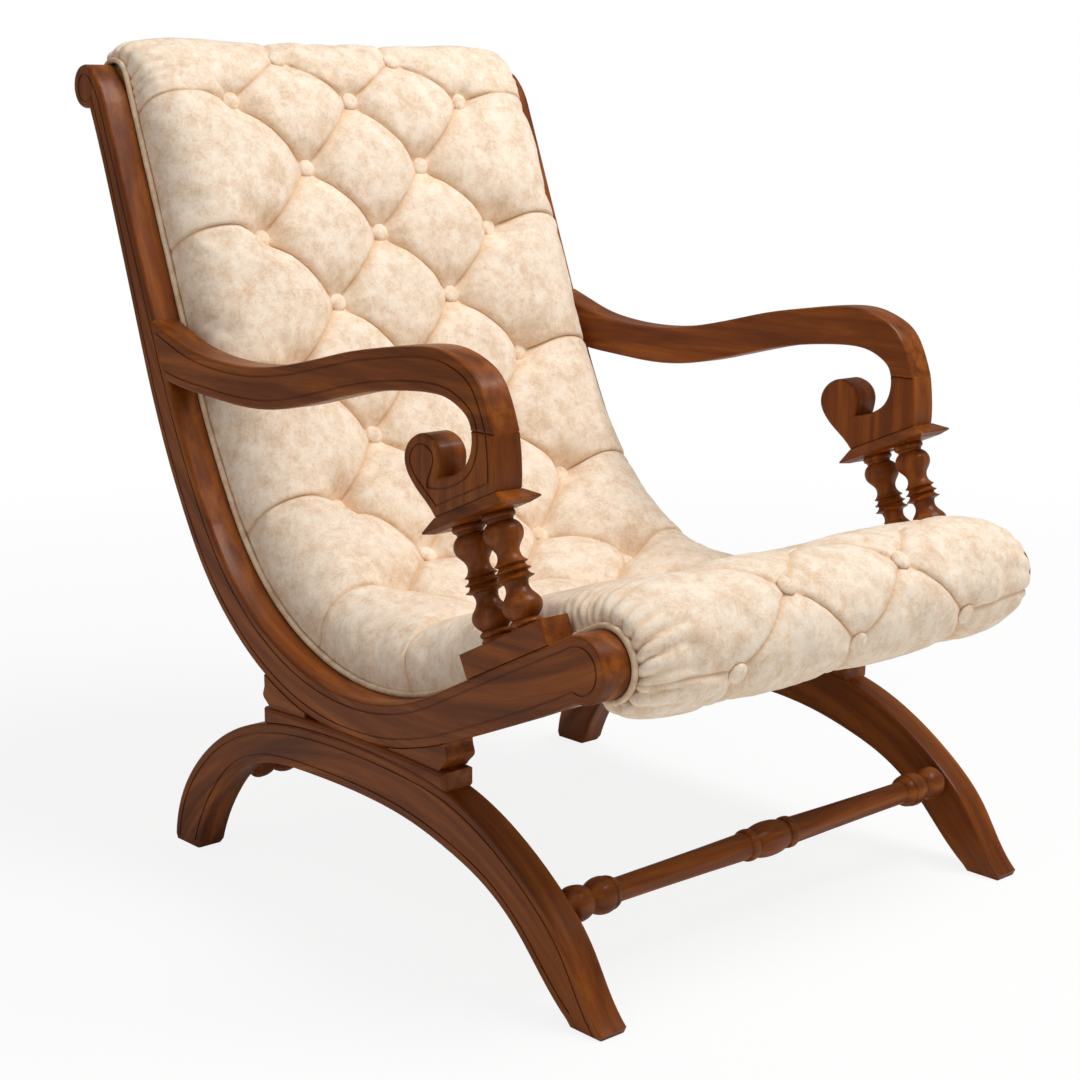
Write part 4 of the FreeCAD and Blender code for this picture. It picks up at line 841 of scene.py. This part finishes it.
def stained_hardwood(name, turn=(0, 0, 0), bow=None, tones=HARDWOOD):
    """Wood sawn at a turn, or bent round a bow, in a light, a middle and a dark tone."""
    light, middle, dark = tones
    material, tree, output, place = blank_material(name)
    if bow:
        centre_y, centre_z, sign = bow
        apart = add_node(tree, "ShaderNodeSeparateXYZ", None, {0: place}).outputs
        y, z = [
            add_node(tree, "ShaderNodeMath", {"operation": "MULTIPLY_ADD"}, {
                0: socket, 1: sign, 2: -centre * sign,
            }).outputs[0]
            for socket, centre in ((apart[1], centre_y), (apart[2], centre_z))
        ]
        arm = add_node(tree, "ShaderNodeCombineXYZ", None, {1: y, 2: z})
        radius = add_node(tree, "ShaderNodeVectorMath", {"operation": "LENGTH"}, {
            0: arm.outputs[0],
        })
        angle = add_node(tree, "ShaderNodeMath", {"operation": "ARCTAN2"}, {0: y, 1: z})
        length = add_node(tree, "ShaderNodeMath", {"operation": "MULTIPLY"}, {
            0: angle.outputs[0], 1: BOW_RADIUS,
        })
        place = add_node(tree, "ShaderNodeCombineXYZ", None, {
            0: apart[0], 1: length.outputs[0], 2: radius.outputs["Value"],
        }).outputs[0]
    grain = add_node(tree, "ShaderNodeMapping", {"vector_type": "TEXTURE"}, {
        "Vector": place, "Rotation": turn, "Scale": STREAK_SIZE,
    })
    streaks = add_node(tree, "ShaderNodeTexNoise", None, {
        "Vector": grain.outputs[0], "Scale": 1.0, "Detail": 6.0, "Roughness": 0.55,
        "Distortion": 0.35,
    })
    fibre_map = add_node(tree, "ShaderNodeMapping", {"vector_type": "TEXTURE"}, {
        "Vector": place, "Rotation": turn, "Scale": PORE_SIZE,
    })
    fibres = add_node(tree, "ShaderNodeTexNoise", None, {
        "Vector": fibre_map.outputs[0], "Scale": 1.0, "Detail": 2.0, "Roughness": 0.5,
    })
    ramp = add_node(tree, "ShaderNodeValToRGB", None, {"Fac": streaks.outputs["Fac"]})
    ramp.color_ramp.elements[0].position = 0.22
    ramp.color_ramp.elements[0].color = colour(dark)
    ramp.color_ramp.elements[1].position = 0.78
    ramp.color_ramp.elements[1].color = colour(light)
    ramp.color_ramp.elements.new(0.5).color = colour(middle)
    pores = add_node(tree, "ShaderNodeMapRange", None, {
        "Value": fibres.outputs["Fac"],
        "From Min": 0.34, "From Max": 0.54, "To Min": 0.86, "To Max": 1.03,
    })
    stained = add_node(tree, "ShaderNodeVectorMath", {"operation": "SCALE"}, {
        0: ramp.outputs["Color"], "Scale": pores.outputs["Result"],
    })
    bump = add_node(tree, "ShaderNodeBump", None, {
        "Height": fibres.outputs["Fac"], "Strength": 0.18, "Distance": 0.0002,
    })
    shader = add_node(tree, "ShaderNodeBsdfPrincipled", None, {
        "Base Color": stained.outputs[0], "Roughness": 0.42, "IOR": 1.48, "Normal": bump.outputs[0],
        "Specular IOR Level": 0.15, "Coat Weight": 0.13, "Coat Roughness": 0.14, "Coat IOR": 1.5,
    })
    tree.links.new(shader.outputs[0], output.inputs[0])
    return material


QUARTER = math.pi / 2
wood = {
    "rail": stained_hardwood("stained_hardwood_rail", bow=(-0.17, 0.86, -1)),
    "arch": stained_hardwood("stained_hardwood_arch", bow=(-0.066, -0.27, 1)),
    "long": stained_hardwood("stained_hardwood_lengthways"),
    "upright": stained_hardwood("stained_hardwood_upright", (QUARTER, 0, 0)),
    "cross": stained_hardwood("stained_hardwood_crossways", (0, 0, QUARTER)),
}
print("hardwood materials", len(wood))

# %% [markdown]
# The hidden frame is raw beech: pale, planed and without lacquer, so it is quite matt. Its
# boards run across the chair, and the fluted dowels are a little paler.

# %% Raw wood of the hidden frame
BEECH = ("#D8B183", "#C89B69", "#B0834F")
DOWEL_BEECH = ("#DDBB90", "#D0A878", "#B98C59")
raw_timber = stained_hardwood("planed_raw_beech", (0, 0, QUARTER), tones=BEECH)
dowel_timber = stained_hardwood("fluted_beech_dowel", (0, 0, QUARTER), tones=DOWEL_BEECH)
for material in (raw_timber, dowel_timber):
    shader = material.node_tree.nodes["Principled BSDF"]
    shader.inputs["Roughness"].default_value = 0.65
    shader.inputs["Coat Weight"].default_value = 0
print(raw_timber.name, dowel_timber.name)

# %% [markdown]
# The cover is ivory crushed velvet. Its nap lies in all directions, so the eye sees a fine
# tan mottle and crackle over a warm ivory, and a soft bloom of light where the cloth turns
# away, which is the sheen. The mottle is noise with blotches of about 24 mm and a crackle
# of about 4 mm. The tufts of the nap are about 0.5 mm, too fine to show, and are drawn at
# 2 mm. The piping's velvet is given a darker, warmer tone. The pad's velvet also carries
# painted shade in its creases and gathers.


# %% Crushed velvet
def crushed_velvet(name, light="#FBEBD7", dark="#EBD0B3", valleys=False):
    """Velvet with its mottle and nap, and painted shade in the pad's creases and gathers if asked.
    """
    material, tree, output, place = blank_material(name)
    blotches = add_node(tree, "ShaderNodeTexNoise", None, {
        "Vector": place, "Scale": 42.0, "Detail": 10.0, "Roughness": 0.84, "Distortion": 0.15,
    })
    speckle = add_node(tree, "ShaderNodeTexNoise", None, {
        "Vector": place, "Scale": 240.0, "Detail": 5.0, "Roughness": 0.75, "Distortion": 1.2,
    })
    base = add_node(tree, "ShaderNodeValToRGB", None, {"Fac": blotches.outputs["Fac"]})
    base.color_ramp.elements[0].position = 0.4
    base.color_ramp.elements[0].color = colour(dark)
    base.color_ramp.elements[1].position = 0.58
    base.color_ramp.elements[1].color = colour(light)
    tan = add_node(tree, "ShaderNodeMath", {"operation": "SUBTRACT"}, {
        0: speckle.outputs["Fac"], 1: blotches.outputs["Fac"],
    })
    veins = add_node(tree, "ShaderNodeMapRange", None, {
        "Value": tan.outputs[0],
        "From Min": 0.0, "From Max": 0.22, "To Min": 0.0, "To Max": 0.42,
    })
    mottled = add_node(tree, "ShaderNodeMix", {"data_type": "RGBA"}, {
        0: veins.outputs["Result"], 6: base.outputs["Color"], 7: colour("#D0AC85"),
    })
    cloth_colour = mottled.outputs[2]
    # Painted shade: the pad's crease value mixes the colour towards a darker, warmer tan in its
    # creases and gathers.
    if valleys:
        shade_amount = add_node(tree, "ShaderNodeAttribute", {"attribute_name": "painted_fold_shade"})
        share = add_node(tree, "ShaderNodeMath", {"operation": "MULTIPLY"}, {
            0: shade_amount.outputs["Fac"], 1: 0.75,
        })
        cloth_colour = add_node(tree, "ShaderNodeMix", {"data_type": "RGBA"}, {
            0: share.outputs[0], 6: cloth_colour, 7: colour("#E2B88A"),
        }).outputs[2]
    nap = add_node(tree, "ShaderNodeTexNoise", None, {
        "Vector": place, "Scale": 520.0, "Detail": 3.0, "Roughness": 0.6,
    })
    bump = add_node(tree, "ShaderNodeBump", None, {
        "Height": nap.outputs["Fac"], "Strength": 0.35, "Distance": 0.0006,
    })
    shader = add_node(tree, "ShaderNodeBsdfPrincipled", None, {
        "Base Color": cloth_colour, "Roughness": 0.8, "IOR": 1.45, "Specular IOR Level": 0.25,
        "Sheen Weight": 0.35, "Sheen Roughness": 0.4, "Sheen Tint": colour("#FFF3E2"),
        "Normal": bump.outputs[0],
    })
    tree.links.new(shader.outputs[0], output.inputs[0])
    return material


# The pad's velvet carries painted shade in its creases and gathers.
pad_velvet = crushed_velvet("ivory_crushed_velvet", valleys=True)
button_velvet = crushed_velvet("ivory_velvet_button")
piping_velvet = crushed_velvet("ivory_velvet_piping", "#EDD6BA", "#D6B48E")
print(pad_velvet.name, button_velvet.name, piping_velvet.name)

# %% [markdown]
# The hidden goods are plain. The screws are zinc-plated steel, which gives a dull bright
# metal. The foam is an open-cell slab whose cells of under 1 mm are drawn at 1.4 mm.


# %% Zinc and foam
def plain_material(name, tones, scale, **values):
    """A grain of two tones at a scale, with the shader's own values by name."""
    material, tree, output, place = blank_material(name)
    base, other = tones
    grain = add_node(tree, "ShaderNodeTexNoise", None, {
        "Vector": place, "Scale": scale, "Detail": 3.0,
    })
    mixed = add_node(tree, "ShaderNodeMix", {"data_type": "RGBA"}, {
        0: grain.outputs["Fac"], 6: colour(base), 7: colour(other),
    })
    bump = add_node(tree, "ShaderNodeBump", None, {
        "Height": grain.outputs["Fac"], "Strength": 0.2, "Distance": 0.0004,
    })
    inputs = {"Base Color": mixed.outputs[2], "Normal": bump.outputs[0]}
    inputs.update({key.replace("_", " "): value for key, value in values.items()})
    shader = add_node(tree, "ShaderNodeBsdfPrincipled", None, inputs)
    tree.links.new(shader.outputs[0], output.inputs[0])
    return material


ZINC, FOAM = ("#C6C8CA", "#A9ACB0"), ("#E9DFBF", "#D9CCA4")
zinc = plain_material("zinc_plated_steel", ZINC, 900.0, Metallic=1.0, Roughness=0.34)
foam_cells = plain_material("open_cell_foam", FOAM, 700.0, Roughness=0.95)
print(zinc.name, foam_cells.name)

# %% [markdown]
# The lining is plain woven cotton: matt, with threads that go over and under each other in
# both directions. The product of two sines gives that check. The threads are about 0.6 mm
# apart, too fine to show, so they are drawn 3 mm apart, on the flat cloth's own map, with a
# soft unevenness of 60 mm where the cloth was dyed and pressed.

# %% Woven cotton
THREAD_PITCH = 3 * MM
cotton, tree, output, place = blank_material("woven_cotton_lining")
flat = add_node(tree, "ShaderNodeUVMap", {"uv_map": "flat_cloth"})
threads = add_node(tree, "ShaderNodeMapping", None, {
    "Vector": flat.outputs[0], "Scale": (math.pi / THREAD_PITCH, math.pi / THREAD_PITCH, 1),
})
waves = add_node(tree, "ShaderNodeVectorMath", {"operation": "SINE"}, {0: threads.outputs[0]})
ways = add_node(tree, "ShaderNodeSeparateXYZ", None, {0: waves.outputs[0]})
over = add_node(tree, "ShaderNodeMath", {"operation": "MULTIPLY"}, {
    0: ways.outputs[0], 1: ways.outputs[1],
})
weave = add_node(tree, "ShaderNodeMapRange", None, {
    "Value": over.outputs[0], "From Min": -1.0, "From Max": 1.0,
})
pressed = add_node(tree, "ShaderNodeTexNoise", None, {
    "Vector": place, "Scale": 16.0, "Detail": 3.0,
})
dyed = add_node(tree, "ShaderNodeMix", {"data_type": "RGBA"}, {
    0: pressed.outputs["Fac"], 6: colour("#D2C2A8"), 7: colour("#E6D8C2"),
})
woven = add_node(tree, "ShaderNodeMix", {"data_type": "RGBA"}, {
    0: weave.outputs["Result"], 6: colour("#C9B99E"), 7: dyed.outputs[2],
})
bump = add_node(tree, "ShaderNodeBump", None, {
    "Height": weave.outputs["Result"], "Strength": 0.3, "Distance": 0.0004,
})
shader = add_node(tree, "ShaderNodeBsdfPrincipled", None, {
    "Base Color": woven.outputs[2], "Roughness": 0.9, "Specular IOR Level": 0.2,
    "Normal": bump.outputs[0],
})
tree.links.new(shader.outputs[0], output.inputs[0])
print(cotton.name, "threads drawn every", round(THREAD_PITCH / MM, 1), "mm")

# %% Give every piece its finish
finishes = {
    wood["rail"]: ["side_rail"],
    wood["arch"]: ["leg_arch"],
    wood["long"]: [
        "saddle_pad", "saddle_wedge_rear", "saddle_wedge_front", "base_block", "arm_plate", "arm",
    ],
    wood["upright"]: ["spindle_front", "spindle_rear", "arm_scroll"],
    wood["cross"]: ["stretcher_front", "stretcher_rear"],
    raw_timber: ["crest_rail", "waist_rail", "seat_rail", "front_rail", "back_slats", "seat_slats"],
    dowel_timber: ["crest_dowels", "waist_dowels", "seat_dowels", "front_dowels", "arm_dowels"],
    zinc: ["plate_screws", "arm_screws", "leg_screws"],
}
finished = 0
for material, names in finishes.items():
    for name in names:
        for end in ("", "_right", "_left"):
            if name + end in nodes:
                nodes[name + end].data.materials.clear()
                nodes[name + end].data.materials.append(material)
                finished += 1
for pieces, material in (
    ([pad], pad_velvet), ([button_covers], button_velvet), (pipings, piping_velvet),
    ([foam], foam_cells), (linings, cotton),
):
    for piece in pieces:
        piece.data.materials.clear()
        piece.data.materials.append(material)
print("finished nodes", finished)

# %% [markdown]
# The studio is a pale floor under soft light. A large key lamp hangs high before the chair,
# a little to the sitter's left, so the side towards the camera lies in soft shade, and a
# weaker lamp fills that side. The floor turns to plain white away from the chair and keeps
# its shadow.

# %% Floor
FLOOR_RADIUS = 30
bm = bmesh.new()
bmesh.ops.create_circle(bm, cap_ends=True, segments=96, radius=FLOOR_RADIUS)
floor = piece_from(bm, "studio_floor")
material, tree, output, place = blank_material("studio_floor_paint")
apart = add_node(tree, "ShaderNodeVectorMath", {"operation": "LENGTH"}, {0: place})
whiter = add_node(tree, "ShaderNodeMapRange", None, {
    "Value": apart.outputs["Value"],
    "From Min": 0.8, "From Max": 2.6, "To Min": 0.86, "To Max": 1.0,
})
path = add_node(tree, "ShaderNodeLightPath")
share = add_node(tree, "ShaderNodeMath", {"operation": "MULTIPLY"}, {
    0: path.outputs["Is Camera Ray"], 1: whiter.outputs["Result"],
})
paint = add_node(tree, "ShaderNodeBsdfDiffuse", None, {"Color": colour("#FAFAF9")})
white = add_node(tree, "ShaderNodeEmission", None, {"Color": (1, 1, 1, 1), "Strength": 1.0})
mix = add_node(tree, "ShaderNodeMixShader", None, {
    0: share.outputs[0], 1: paint.outputs[0], 2: white.outputs[0],
})
tree.links.new(mix.outputs[0], output.inputs[0])
floor.data.materials.append(material)
print("floor radius in m", FLOOR_RADIUS)

# %% World and lamps
world = bpy.data.worlds.new("studio_air")
bpy.context.scene.world = world
world.use_nodes = True
tree = world.node_tree
tree.nodes.clear()
path = add_node(tree, "ShaderNodeLightPath")
strength = add_node(tree, "ShaderNodeMapRange", None, {
    "Value": path.outputs["Is Camera Ray"], "To Min": 0.29, "To Max": 1.0,
})
air = add_node(tree, "ShaderNodeBackground", None, {
    "Color": (1, 1, 1, 1), "Strength": strength.outputs["Result"],
})
tree.links.new(air.outputs[0], add_node(tree, "ShaderNodeOutputWorld").inputs[0])
AIM = Vector((0, 0, 0.45))
for name, spot, size, power in (
    ("key_lamp", (0.9, -1.3, 3.3), 1.8, 89),
    ("fill_lamp", (-2.4, -0.6, 2.6), 2.2, 12),
):
    lamp = bpy.data.lights.new(name, "AREA")
    lamp.size, lamp.energy = size, power
    lamp_object = bpy.data.objects.new(name, lamp)
    lamp_object.location = spot
    lamp_object.rotation_euler = (AIM - Vector(spot)).to_track_quat("-Z", "Y").to_euler()
    bpy.context.scene.collection.objects.link(lamp_object)
print("lamps ready")

# %% [markdown]
# The camera stands where the photographer stood: its place and its lens were solved from
# the chair's own straight and level edges in the photograph.

# %% Camera and colour
camera_data = bpy.data.cameras.new("photo_camera")
camera_data.sensor_width, camera_data.lens = 36, 68.136
camera = bpy.data.objects.new("photo_camera", camera_data)
camera.location = (-1.5205, -1.6919, 0.8340)
turn, dip = math.radians(-41.710), math.radians(11.754)
looking = Vector((-math.sin(turn) * math.cos(dip), math.cos(turn) * math.cos(dip), -math.sin(dip)))
camera.rotation_euler = looking.to_track_quat("-Z", "Y").to_euler()
bpy.context.scene.collection.objects.link(camera)
bpy.context.scene.camera = camera
bpy.context.scene.view_settings.view_transform = "Standard"
print("camera looks along", [round(v, 3) for v in looking])
